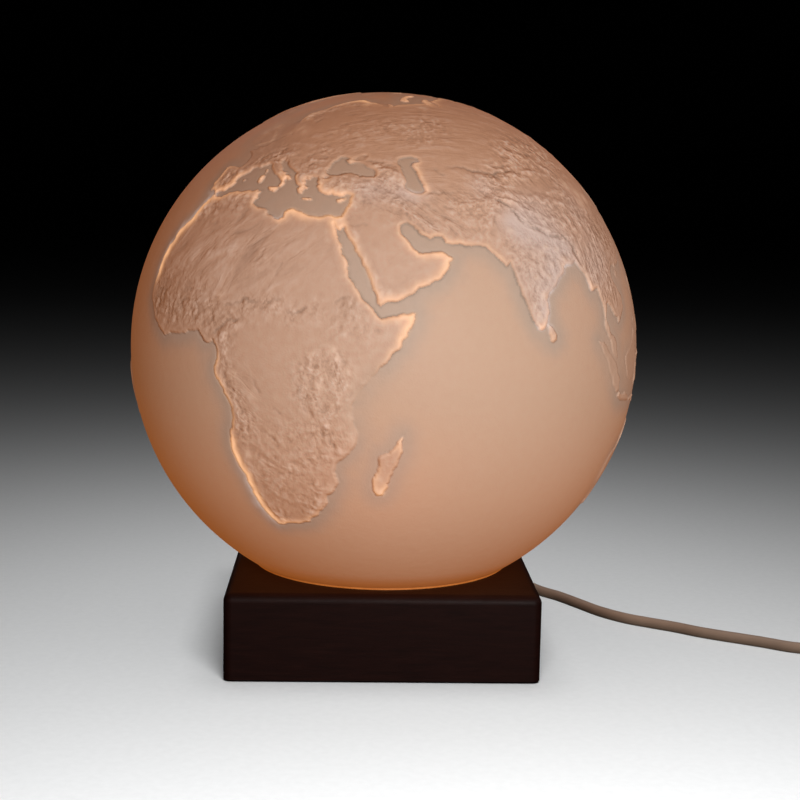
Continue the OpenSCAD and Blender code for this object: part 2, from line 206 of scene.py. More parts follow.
def shade(c, k):
    return tuple(min(1.0, x * k) for x in c)


def plain(name, color, rough=0.5, metal=0.0, tint=0.12, scale=60.0, stretch=(1, 1, 1), grain=900.0,
          depth=0.00002, rough_var=0.1, spec=0.5, coat=0.0):
    """A moulded, cast or drawn surface: uneven colour, uneven sheen and a fine grain."""
    n = Nodes(name)
    v = n.mapping(stretch)
    cloud = n.noise(scale, 4.0, v)
    fine = n.noise(grain, 2.0, v)
    n.set(
        Base_Color=n.ramp(cloud, [(0.3, shade(color, 1 - tint)), (0.7, shade(color, 1 + tint))]),
        Roughness=n.remap(fine, 0.3, 0.7, max(0.02, rough - rough_var), min(1.0, rough + rough_var)),
        Normal=n.bump(fine, depth, 0.6),
        Metallic=metal, Specular_IOR_Level=spec, Coat_Weight=coat, Coat_Roughness=0.2,
    )
    return n.m


def dress(node, material):
    slots = NODES[node].data.materials
    if len(slots) == 0:
        slots.append(material)
    for i in range(len(slots)):
        slots[i] = material


# ---------------------------------------------------------------- cord
# the route's points are those of part.scad, in millimetres
LEAD = [(0, 88, 10), (0, 94, 10), (1, 105, 9), (8, 118, 5), (20, 127, 2.5), (38, 130, 2.5),
        (55, 122, 2.5), (66, 106, 2.5), (73, 89, 2.5), (82, 71, 2.5), (90, 61, 2.5),
        (98, 48, 2.5), (106, 35, 2.5), (116, 24, 2.5), (126, 17, 2.5), (137, 10, 2.5),
        (146, 3, 2.5), (154, -2, 2.5), (170, -11, 2.5), (185, -20, 2.5),
        (197, -26, 4.2), (207, -28, 6.8), (212, -28, 7), (216, -28, 7)]
TAIL = [(270, -28, 7), (274, -28, 7), (281, -28, 6.4), (292, -28, 3.5), (304, -28, 2.5)]
END = [(342, 24, 12.5), (333, 32, 15.6), (321, 37, 17.4), (309, 39.2, 15),
       (298.8, 41.4, 11.5), (291.6, 45.6, 9), (286.6, 52, 7.6), (284, 58.4, 7),
       (283, 64, 6.85), (283, 69, 6.85), (283, 78, 6.85)]
COIL = (322.0, 5.0)
SHIFT_FROM, SHIFT_TO = 240.0, 315.0  # degrees past -90, where every turn steps to the next place


def coil_points():
    """Three layers of turns, each a cord's thickness from the next."""
    places = [(32.5, 2.5), (27.5, 2.5), (22.5, 2.5), (22.5, 7.5), (27.5, 7.5), (32.5, 7.5), (32.5, 12.5), (27.5, 12.5)]
    points = []
    total = 7 * 360 + 118
    for a in range(0, total + 1, 18):
        turn_no, part = divmod(a, 360)
        here = places[min(turn_no, len(places) - 1)]
        after = places[min(turn_no + 1, len(places) - 1)]
        u = min(1.0, max(0.0, (part - SHIFT_FROM) / (SHIFT_TO - SHIFT_FROM)))
        s = u * u * (3 - 2 * u)
        r = here[0] + (after[0] - here[0]) * s
        z = here[1] + (after[1] - here[1]) * s
        if here[0] == after[0] and here[1] != after[1]:
            r += (-2.8 if here[0] < 25 else 2.8) * math.sin(math.pi * u) ** 2
        t = math.radians(a - 90.0)
        points.append((COIL[0] + r * math.cos(t), COIL[1] + r * math.sin(t), z))
    return points


def bezier(name, points, radius, resolution=6, bevel=5):
    """One open spline through the points, with even tangents."""
    cu = bpy.data.curves.new(name, "CURVE")
    cu.dimensions = "3D"
    cu.resolution_u = resolution
    cu.bevel_depth = 1.0  # each point's radius gives the thickness, so that the curve's box is its real one
    cu.bevel_resolution = bevel
    cu.use_fill_caps = True
    sp = cu.splines.new("BEZIER")
    sp.bezier_points.add(len(points) - 1)
    p = [Vector(q) * 0.001 for q in points]
    for i, bp in enumerate(sp.bezier_points):
        a, b = p[max(0, i - 1)], p[min(len(p) - 1, i + 1)]
        d = (b - a).normalized()
        bp.co = p[i]
        bp.radius = radius
        bp.handle_left_type = bp.handle_right_type = "FREE"
        bp.handle_left = p[i] - d * ((p[i] - a).length / 3 if i else 0.001)
        bp.handle_right = p[i] + d * ((b - p[i]).length / 3 if i < len(p) - 1 else 0.001)
    return link(bpy.data.objects.new(name, cu))


route = LEAD + TAIL + coil_points() + END
cord = bezier("mains_cord", route, 0.0025)
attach(cord, "base")
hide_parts("cord_lead", "cord_tail", "cord_coil", "cord_end")

# ---------------------------------------------------------------- the Earth's land, longitude and latitude in degrees
LAND = [
    # Europe, Asia and Africa, from the Strait of Gibraltar eastwards
    """-5.9,35.8 -5.3,35.9 -4.3,35.2 -3.0,35.3 -1.9,35.1 -0.6,35.8 1.2,36.5 3.1,36.9 5.1,36.8 6.9,37.0 8.6,36.9 9.8,37.3
    10.3,36.8 11.0,37.1 10.5,36.0 11.1,35.2 10.1,34.3 10.3,33.7 11.1,33.4 12.4,32.8 13.6,32.8 15.2,32.3 15.7,31.4 17.6,30.8
    19.1,30.3 20.1,30.9 20.0,32.0 21.6,32.9 23.1,32.4 25.0,31.7 27.2,31.3 29.0,30.9 30.3,31.4 31.3,31.6 32.3,31.2 34.2,31.3
    34.8,32.3 35.5,33.8 35.8,35.2 36.1,36.5 34.6,36.8 33.6,36.2 32.6,36.1 31.0,36.8 30.4,36.3 29.0,36.5 28.2,36.8 27.3,37.2
    26.5,38.3 26.9,38.8 26.2,39.5 26.2,40.1 26.1,40.7 24.6,40.9 23.8,40.6 24.2,40.1 23.4,40.2 22.8,40.5 22.7,39.9 23.2,39.2
    22.9,38.8 24.1,38.1 24.0,37.7 23.1,37.9 23.4,37.3 22.8,37.4 23.1,36.5 22.5,36.5 21.8,36.8 21.3,37.7 21.9,38.3 20.9,38.7
    20.0,39.7 19.3,40.6 19.5,41.8 18.0,42.6 15.9,43.6 15.1,44.3 14.6,45.2 13.7,45.0 13.5,45.7 12.3,45.4 12.4,44.4 13.6,43.5
    14.2,42.5 16.1,41.9 15.9,41.5 17.9,40.8 18.5,40.1 17.9,39.9 17.0,40.5 16.5,39.7 17.1,39.0 16.2,37.9 15.7,38.2 16.0,39.2
    15.3,40.1 14.3,40.7 12.7,41.4 11.2,42.4 10.3,43.3 9.9,44.1 8.7,44.4 7.4,43.7 6.0,43.1 4.8,43.4 3.3,43.2 3.1,42.1
    1.2,41.1 -0.3,39.7 0.2,38.8 -0.7,37.9 -1.7,37.3 -2.4,36.8 -4.5,36.7 -5.5,36.0 -6.3,36.6 -7.2,37.2 -8.9,37.0 -8.8,38.3
    -9.4,38.8 -8.7,40.9 -9.2,43.1 -7.8,43.7 -5.0,43.5 -1.8,43.4 -1.2,44.8 -1.2,46.1 -2.6,47.4 -4.6,48.1 -4.0,48.7 -1.8,48.7
    -1.7,49.7 0.1,49.5 1.6,50.3 1.9,51.0 3.6,51.5 4.5,52.6 6.0,53.4 8.4,53.7 8.6,54.8 8.2,56.2 9.5,57.2 10.6,57.7
    10.4,56.6 10.2,55.6 9.7,54.8 11.0,54.0 12.6,54.4 14.3,53.9 16.6,54.5 18.6,54.7 19.6,54.4 21.1,55.4 21.2,57.0 22.4,57.7
    23.7,57.0 24.4,57.5 24.0,58.3 23.5,59.1 25.5,59.6 28.1,59.5 30.0,59.9 28.6,60.5 25.3,60.3 22.9,59.9 21.4,60.9 21.4,62.8
    23.5,64.3 25.4,65.1 24.1,65.8 22.0,65.5 20.9,64.0 18.1,62.6 17.2,61.2 18.9,60.0 17.8,58.8 16.6,57.8 16.2,56.3 14.5,55.8
    13.0,55.5 12.4,56.6 11.5,58.3 10.7,59.5 9.4,58.8 7.0,58.0 5.5,58.9 5.1,60.6 5.3,62.0 8.3,63.4 10.8,64.7 12.6,66.2
    14.6,67.6 17.0,69.0 20.2,70.0 23.5,70.8 26.2,71.1 30.0,70.6 31.0,70.1 33.3,69.4 37.5,68.8 41.0,67.6 41.0,66.6 38.0,66.1
    34.0,66.7 32.8,67.0 34.6,65.5 35.2,64.2 37.8,64.0 39.9,64.7 40.2,65.6 42.2,66.4 44.2,66.3 43.8,67.6 44.0,68.6 46.3,67.9
    46.8,67.0 50.0,68.0 53.5,68.3 57.0,68.6 60.5,69.2 64.5,69.4 67.0,68.9 68.9,68.2 67.3,69.8 67.0,71.4 69.3,73.0 72.4,72.9
    72.0,71.2 73.0,69.2 73.2,67.8 74.6,68.3 75.0,70.3 74.5,72.0 77.5,72.4 80.5,73.5 86.0,74.0 93.0,75.9 99.0,76.3 104.3,77.6
    111.0,76.5 112.5,75.2 106.5,73.4 110.5,74.0 115.0,73.6 123.0,73.1 127.5,73.3 129.3,71.3 133.0,71.6 139.5,71.9 141.5,72.7
    149.0,72.2 153.5,70.9 160.0,69.7 167.0,69.6 171.0,69.9 176.5,69.7 180.5,68.9 185.0,67.1 190.2,66.1 187.2,64.4 182.0,65.4
    178.6,64.5 179.3,62.6 174.0,61.7 170.2,60.0 164.8,59.9 163.0,58.2 162.8,56.2 161.5,54.8 159.9,53.0 156.7,51.1 155.7,54.0
    156.8,57.6 160.5,60.0 163.6,62.4 158.0,61.8 154.8,59.6 149.0,59.5 142.0,59.0 137.5,55.5 137.3,54.0 141.2,53.1 140.4,50.0
    139.0,47.0 135.6,44.2 133.0,42.8 130.6,42.3 129.5,41.0 127.5,39.5 128.6,38.2 129.4,36.8 129.0,35.2 126.5,34.5 126.6,36.8
    125.1,38.1 124.6,39.8 121.7,39.0 122.0,40.6 119.5,39.4 117.7,38.7 118.9,37.4 122.5,37.1 119.5,35.2 120.7,33.2 121.8,31.6
    121.9,29.6 120.3,27.2 118.2,24.5 115.0,22.7 111.5,21.5 110.3,20.4 109.7,21.5 108.1,21.6 106.2,20.0 105.8,18.6 107.5,16.6
    109.0,14.8 109.2,12.2 107.5,10.5 106.0,9.2 104.9,8.7 104.8,10.2 103.2,10.8 102.2,12.3 100.9,13.5 100.0,13.1 99.6,11.4
    99.3,9.4 100.4,7.3 102.1,6.3 103.4,4.6 103.7,2.4 104.1,1.4 102.6,2.0 101.2,3.3 100.4,5.6 99.4,6.8 98.3,8.2 98.6,10.3
    98.6,12.5 97.8,14.8 97.4,16.7 96.1,16.4 94.8,15.9 94.3,17.4 93.6,19.6 92.1,21.2 91.3,22.6 90.2,21.9 88.5,21.7 86.9,21.3
    86.6,20.2 84.8,19.1 82.4,16.9 81.0,15.9 80.1,14.6 80.2,12.9 79.8,10.6 79.0,9.2 77.9,8.4 77.3,8.4 76.3,9.9 75.3,11.8
    74.6,13.9 73.7,16.2 73.0,18.4 72.6,20.2 72.3,21.3 72.2,22.3 71.0,21.3 70.2,22.3 68.5,24.0
    66.8,25.4 65.2,25.7 62.1,25.5 59.1,25.8 57.7,26.1 56.8,27.5 55.6,27.5 54.1,26.9 51.9,28.1 50.7,29.6 49.1,30.4 47.8,29.9
    47.7,28.6 48.5,27.2 49.7,25.9 50.4,24.7 51.6,23.8 53.5,23.9 55.3,24.1 57.2,23.9
    58.9,22.9 57.8,21.0 56.2,18.9 53.3,17.4 50.2,15.6 46.9,14.1 43.8,13.1 43.1,13.6
    42.9,15.3 42.0,17.3 41.2,19.4 39.7,21.7 38.7,23.6 37.4,25.6 35.6,28.0 35.1,29.2 34.5,28.3 33.6,28.6 32.6,29.9 33.1,28.9 33.6,27.6
    35.0,25.0 36.6,21.8 37.0,19.4 38.3,17.3 39.5,15.6 41.5,13.4 42.5,12.1 43.6,10.9 45.7,11.1 48.6,11.7 50.7,11.9 50.2,9.8
    49.1,7.6 47.7,5.0 45.8,3.0 44.2,1.6 42.9,-0.1 41.3,-2.0 39.7,-4.0 38.6,-6.2 38.7,-8.2 39.2,-10.6 39.2,-14.6 37.2,-16.9 35.3,-18.6
    34.8,-20.2 35.5,-22.5 34.6,-24.6 32.8,-25.9 32.8,-27.8 31.5,-29.3 30.0,-31.2 27.6,-33.2 25.0,-34.0 22.3,-34.1 20.0,-34.9
    18.6,-34.9 17.4,-33.4 16.2,-31.4 15.2,-29.4 14.4,-27.0 13.9,-24.6 13.3,-22.0 12.2,-19.6 11.5,-17.4 11.5,-15.2 12.5,-12.4 13.2,-10.2
    12.9,-8.6 11.8,-6.0 10.0,-3.0 8.8,-1.0 9.3,0.8 9.5,2.6 9.0,3.9 8.1,5.0 7.3,4.3 5.9,4.5 5.0,5.4 3.8,6.6 2.0,6.5
    0.2,6.0 -1.9,5.5 -4.0,5.5 -6.0,5.1 -7.6,4.7 -9.4,5.7 -11.4,7.1 -13.1,8.9 -14.6,10.8 -16.0,12.4 -16.2,14.7 -15.8,16.4
    -15.7,19.0 -15.6,21.0 -14.8,23.6 -13.4,25.9 -11.6,27.9 -9.9,29.4 -9.0,31.0 -8.3,32.6 -7.1,34.0 -6.2,34.9""",
    # Great Britain, Ireland, Iceland
    """-5.6,50.1 -3.5,50.3 -1.3,50.8 1.4,51.2 0.9,51.6 1.7,52.6 0.3,53.0 -0.1,53.8 -1.4,54.7 -2.0,55.8 -3.2,56.1 -2.0,57.5
    -4.0,57.6 -3.2,58.5 -5.0,58.5 -5.7,57.4 -5.4,56.2 -4.8,55.0 -3.3,54.9 -3.0,53.6 -4.5,53.2 -4.3,52.5 -5.2,51.9 -3.3,51.4 -4.3,51.1""",
    "-6.3,52.2 -6.0,53.5 -5.6,54.5 -7.0,55.3 -8.4,54.7 -10.0,54.2 -9.2,53.2 -10.3,52.1 -9.5,51.5 -8.0,51.8",
    "-22.5,63.9 -18.8,63.4 -14.6,64.4 -14.7,65.8 -16.2,66.4 -20.3,65.8 -22.6,66.3 -24.2,65.6 -22.0,64.8",
    # Mediterranean islands and Denmark's
    "12.5,38.0 14.0,38.0 15.5,38.1 15.1,36.8 13.6,37.1", "8.3,40.9 9.3,41.2 9.7,40.3 9.4,39.2 8.5,39.0",
    "8.7,42.5 9.4,42.9 9.5,42.0 9.1,41.5", "23.6,35.5 25.0,35.4 26.2,35.2 24.8,34.95 23.6,35.2",
    "32.3,35.0 33.0,35.3 34.5,35.6 33.9,35.0 32.9,34.6", "2.4,39.6 3.2,39.9 3.2,39.4", "11.2,55.7 12.5,56.0 12.2,55.0 11.2,55.2",
    # Arctic islands
    """51.5,71.6 53.0,73.2 56.0,75.0 61.5,76.2 68.6,76.9 66.0,76.0 60.0,74.9 57.0,73.3 57.2,71.0 54.5,70.7""",
    "11.2,79.0 14.0,79.8 19.0,80.3 26.5,80.0 22.0,78.4 17.3,76.6 14.0,77.7", "47.0,80.2 52.0,81.0 62.0,81.5 59.0,80.1",
    "95.5,79.0 94.0,80.6 97.0,81.1 104.5,79.0 100.0,78.1", "137.5,75.4 142.0,76.0 150.0,75.2 143.0,73.6 139.5,74.6",
    "178.8,71.2 181.5,71.5 182.4,71.0 180.0,70.9",
    # Greenland
    """-44.0,60.0 -48.5,61.0 -51.5,64.0 -53.5,67.0 -51.0,69.5 -54.5,71.0 -57.0,74.5 -66.0,76.0 -71.0,77.5 -72.0,78.5 -65.0,80.3
    -60.0,82.0 -45.0,82.8 -32.0,83.6 -20.0,82.5 -12.0,81.4 -17.0,80.0 -19.0,77.5 -20.0,74.5 -22.0,72.0 -22.5,70.2 -27.0,68.5
    -34.0,66.5 -39.5,65.4 -41.0,63.5 -42.5,61.8""",
    # Madagascar and the islands of the Indian Ocean
    """48.7,-12.0 48.9,-15.5 48.1,-17.2 46.9,-20.5 46.0,-22.6 45.2,-25.0 43.8,-25.5 43.0,-24.2 42.8,-21.8 43.9,-19.8
    44.0,-17.4 44.6,-16.2 45.9,-15.8 47.1,-14.7 47.7,-13.5""",
    "79.8,9.5 80.7,9.2 81.7,7.7 81.8,6.6 80.9,6.0 80.1,6.2 79.8,7.8",
    # South East Asia
    """95.3,5.6 97.5,5.2 98.9,3.7 100.4,2.6 102.2,1.2 103.6,0.0 104.5,-1.9 106.0,-3.1 105.8,-5.8 104.5,-5.8 102.3,-4.0
    100.6,-1.4 98.9,1.6 97.3,3.1""",
    "105.3,-6.7 106.1,-5.9 108.6,-6.7 110.9,-6.4 112.7,-7.1 114.4,-7.8 114.3,-8.6 111.0,-8.3 108.0,-7.8 106.4,-7.4",
    """109.0,1.6 109.8,2.0 111.3,2.6 113.0,3.3 115.2,5.2 116.8,7.0 119.2,5.2 117.9,4.0 117.9,1.9 119.0,1.0 117.5,-0.8
    116.4,-3.2 114.6,-4.1 111.8,-3.4 110.1,-1.3 109.1,0.4""",
    """119.5,-5.5 119.5,-3.5 118.8,-2.7 119.8,0.2 120.9,1.3 123.5,0.9 125.1,1.6 124.3,0.4 120.6,0.4 120.2,-1.0 121.5,-0.9
    123.3,-0.9 121.6,-2.0 122.3,-3.5 122.6,-5.3 121.5,-4.6 120.9,-2.8 120.4,-4.0 120.4,-5.5""",
    "114.5,-8.1 117.0,-8.3 119.0,-8.3 122.9,-8.2 122.5,-8.7 119.8,-8.8 116.0,-8.9", "123.6,-10.3 125.0,-9.1 127.2,-8.4 125.3,-9.5",
    "120.3,16.0 120.6,18.5 122.2,18.4 121.6,16.0 121.9,14.2 124.0,12.8 121.0,13.8 120.2,14.8",
    "122.0,7.0 123.5,8.5 125.4,9.8 126.5,7.3 125.6,5.9 124.0,6.6", "122.0,11.6 124.3,12.4 125.6,11.0 124.9,10.2 123.0,9.3 122.2,10.4",
    "117.2,8.4 119.2,10.3 119.6,11.2 118.3,9.6", "108.7,19.3 110.0,20.1 111.0,19.7 109.6,18.2", "120.1,23.1 121.5,25.2 121.7,24.4 120.9,22.0",
    "127.5,-3.1 129.0,-2.9 130.8,-3.1 129.0,-3.5", "127.5,0.5 128.0,2.0 128.6,1.2 128.0,-0.8",
    # Japan and Sakhalin
    "129.8,33.3 131.0,33.9 131.9,32.8 131.1,31.3 130.2,31.3", "132.2,33.3 134.5,34.2 134.2,33.3 133.0,32.8",
    """131.0,34.2 133.0,35.5 136.0,35.7 137.0,37.2 139.3,38.3 140.0,40.0 140.5,41.3 141.5,41.3 142.0,39.5 140.9,37.8
    140.8,35.7 139.0,34.7 137.0,34.6 135.7,33.5 135.0,34.6 132.3,34.1""",
    "140.2,41.7 140.5,43.2 141.7,45.4 144.3,44.0 145.5,43.2 143.3,42.0 141.0,42.4",
    "142.0,46.0 142.0,50.0 142.3,53.5 143.3,53.0 144.5,49.2 142.9,47.3 143.4,46.4",
    # New Guinea, Australia, Tasmania, New Zealand
    """131.0,-0.9 134.1,-0.9 135.0,-3.3 138.0,-1.8 141.0,-2.6 144.5,-3.9 147.5,-6.0 148.0,-8.2 150.8,-10.3 147.2,-9.5
    144.0,-7.8 142.0,-9.1 139.0,-8.1 137.8,-5.3 135.0,-4.4 132.8,-4.0 132.4,-2.6""",
    """113.7,-22.5 114.2,-21.8 116.7,-20.7 119.0,-20.0 121.5,-18.7 122.2,-17.2 123.6,-16.3 125.0,-14.7 126.9,-13.8 128.2,-14.8
    129.7,-15.0 130.5,-12.5 132.5,-11.4 135.5,-12.1 136.9,-12.3 135.6,-14.9 138.0,-16.7 140.5,-17.5 141.6,-14.9 142.5,-10.8
    143.7,-14.4 145.4,-15.3 146.1,-18.6 148.8,-20.4 150.8,-23.4 153.2,-25.5 153.5,-28.5 152.5,-32.3 150.2,-36.5 149.9,-37.5
    146.4,-39.0 144.0,-38.3 140.5,-38.0 138.5,-35.6 137.9,-33.5 135.5,-34.8 134.0,-32.7 131.2,-31.5 126.0,-32.3 123.9,-33.9
    120.0,-33.9 117.9,-35.0 115.1,-34.3 115.7,-31.9 114.2,-28.0 113.4,-25.6 113.5,-24.0""",
    "144.7,-40.8 148.2,-40.9 147.9,-43.2 146.0,-43.5",
    "173.0,-34.4 174.8,-36.8 178.4,-37.7 177.0,-39.4 175.3,-41.5 173.8,-39.3 174.7,-38.0",
    "172.7,-40.6 174.3,-41.6 172.9,-43.7 170.7,-45.9 168.4,-46.6 166.5,-45.9 168.3,-44.0 171.3,-42.2",
    # the Americas
    """-168.1,65.6 -163.8,66.6 -166.5,68.3 -156.5,71.3 -148.0,70.4 -141.0,69.6 -134.5,69.5 -128.0,70.3 -115.0,68.3 -108.0,68.0
    -102.0,67.8 -96.0,68.3 -94.5,71.9 -91.5,69.6 -87.5,68.0 -85.5,69.5 -81.5,69.2 -81.5,67.3 -86.0,66.3 -87.5,64.5 -93.5,62.0
    -94.7,58.8 -92.5,57.0 -88.0,56.5 -82.3,55.2 -82.2,53.0 -79.5,51.5 -79.0,54.6 -76.6,57.0 -78.5,58.9 -77.5,62.5 -73.8,62.4
    -70.0,61.0 -69.5,58.9 -65.5,58.9 -64.5,60.3 -61.5,56.5 -57.5,54.5 -55.7,52.3 -60.0,50.2 -66.5,50.2 -68.8,48.5 -64.5,48.9
    -64.8,46.8 -61.3,45.5 -66.0,43.6 -67.0,44.8 -70.5,43.0 -70.0,41.7 -74.0,40.6 -75.5,38.0 -75.6,35.2 -78.6,33.8 -81.2,31.5
    -80.1,26.8 -80.5,25.2 -81.8,26.2 -82.8,28.2 -84.0,30.1 -85.5,30.0 -89.4,30.3 -89.2,29.1 -91.5,29.4 -94.7,29.4 -97.2,27.8
    -97.4,25.5 -97.8,22.3 -96.3,19.3 -94.5,18.1 -91.8,18.6 -90.5,19.9 -90.2,21.2 -87.0,21.5 -87.5,19.5 -88.3,17.5 -88.6,15.8
    -84.0,15.8 -83.2,15.0 -83.7,11.5 -82.2,9.1 -79.7,9.5 -77.4,8.6 -75.5,10.6 -74.0,11.2 -71.7,12.3 -71.6,10.9 -68.3,10.6
    -64.5,10.2 -61.9,10.7 -60.8,8.6 -57.5,6.3 -54.0,5.8 -51.5,4.3 -50.0,1.0 -48.4,-0.7 -44.5,-2.3 -41.8,-2.8 -38.5,-3.7
    -35.3,-5.2 -34.9,-8.0 -37.2,-11.3 -39.0,-13.5 -39.2,-17.8 -40.9,-21.9 -43.0,-23.0 -46.5,-24.2 -48.6,-26.2 -48.8,-28.6
    -51.2,-31.5 -53.5,-34.0 -56.0,-34.9 -58.4,-34.0 -57.0,-36.5 -57.6,-38.1 -62.2,-39.0 -65.1,-41.0 -63.7,-42.6 -65.3,-44.7
    -67.5,-46.1 -65.8,-47.8 -69.0,-50.8 -68.4,-52.4 -65.2,-54.7 -68.5,-55.5 -72.0,-54.0 -75.0,-51.0 -75.6,-46.8 -73.5,-42.0
    -73.7,-37.2 -71.6,-33.0 -71.5,-29.0 -70.4,-23.0 -70.3,-18.4 -75.0,-15.5 -77.2,-12.0 -79.5,-7.5 -81.3,-4.7 -80.3,-3.3
    -80.9,-1.0 -80.0,0.8 -78.5,2.2 -77.3,4.0 -77.9,6.9 -80.0,8.0 -80.7,7.3 -82.9,8.2 -85.7,10.0 -87.6,12.9 -91.5,14.0
    -94.5,16.2 -99.0,16.6 -102.0,18.0 -105.5,20.3 -105.5,22.5 -109.3,25.7 -112.5,29.3 -114.8,31.7 -113.5,28.8 -110.5,24.3
    -109.5,23.0 -112.1,25.0 -115.0,28.0 -117.1,32.5 -120.6,34.5 -122.5,37.5 -124.3,40.4 -124.0,44.5 -124.7,48.4 -123.0,49.0
    -127.5,51.0 -130.5,54.5 -134.5,58.0 -139.5,59.6 -144.0,60.0 -148.5,60.0 -152.0,59.2 -154.2,58.5 -158.5,56.0 -163.5,54.7
    -158.0,57.8 -162.0,58.7 -165.5,61.5 -164.5,63.2 -161.0,64.5 -166.2,64.5""",
    "-61.5,66.6 -68.0,70.0 -73.0,71.6 -80.5,73.7 -89.0,71.0 -84.5,70.0 -78.0,69.9 -73.5,68.0 -74.5,64.6 -71.5,62.0 -65.5,62.2 -64.5,63.6 -68.0,66.0",
    "-117.0,71.0 -112.0,72.6 -105.0,72.7 -105.0,69.2 -116.0,69.3", "-90.0,76.4 -78.0,76.3 -72.0,79.0 -62.0,82.4 -75.0,83.1 -91.0,81.7 -87.0,79.0",
    "-92.0,76.5 -80.0,75.7 -82.0,74.5 -92.0,74.8", "-125.0,72.0 -120.0,74.2 -117.5,73.0 -123.0,71.1", "-117.0,76.0 -106.0,76.2 -106.0,75.0 -115.0,74.5",
    "-59.3,47.7 -56.0,51.6 -55.5,49.8 -52.8,47.5 -55.5,46.9", "-84.9,21.9 -82.5,23.1 -77.5,21.9 -74.2,20.2 -77.7,19.9 -78.5,21.3 -82.0,22.4",
    "-74.4,18.4 -73.0,19.9 -69.9,19.7 -68.4,18.6 -71.0,17.9", "-67.2,18.4 -65.7,18.4 -66.0,18.0 -67.1,18.0", "-78.2,18.4 -76.4,18.1 -77.3,17.8",
    "-61.0,-51.6 -58.0,-51.6 -59.5,-52.3", "-155.9,20.1 -155.0,19.6 -155.7,19.0",
]
WATER = [
    # Black Sea, Sea of Azov, Marmara, Caspian, Aral
    """28.9,41.3 28.0,41.9 27.7,42.6 28.4,43.5 28.8,44.6 29.8,45.4 30.8,46.4 32.0,46.5 33.4,46.0 32.7,45.4 33.6,44.6 35.3,45.0
    36.6,45.0 37.6,44.6 39.4,43.6 41.3,42.7 41.6,41.8 40.9,41.1 39.0,41.1 37.2,41.1 35.8,41.7 34.6,42.0 32.8,41.8 31.3,41.3""",
    "35.2,46.2 36.6,46.7 38.4,47.1 38.2,46.5 37.5,45.8 36.5,45.5 35.1,45.6", "27.4,40.6 28.2,41.0 29.2,40.9 29.0,40.5 27.9,40.4",
    """47.5,46.2 49.2,46.8 51.2,47.0 53.1,46.7 53.4,45.7 51.7,45.3 51.3,44.4 52.2,43.0 52.8,41.4 53.4,39.9
    54.1,37.8 52.6,37.1 50.5,37.6 49.1,38.4 48.9,39.4 49.4,40.4 48.7,42.0 48.2,43.7 47.3,45.2""",
    "58.6,45.1 59.3,45.8 60.2,45.6 60.0,44.7 59.5,44.3",
    # the great lakes of North America
    "-92.0,46.8 -88.5,48.7 -84.8,46.7 -88.0,46.9", "-87.6,41.8 -88.0,44.0 -85.8,45.9 -86.3,43.5 -86.8,41.8", "-84.5,45.9 -81.5,45.8 -82.0,43.2 -83.3,44.2",
    "-83.2,41.7 -81.0,42.6 -79.0,42.8 -81.5,41.6", "-79.6,43.3 -77.5,43.9 -76.3,43.9 -77.5,43.3", "-98.5,53.5 -97.0,53.0 -96.8,50.6 -98.2,51.8",
    "-117.0,62.0 -112.0,62.5 -111.5,61.4 -115.5,61.0", "-124.5,66.0 -119.0,67.0 -118.5,65.3 -122.0,65.0",
]
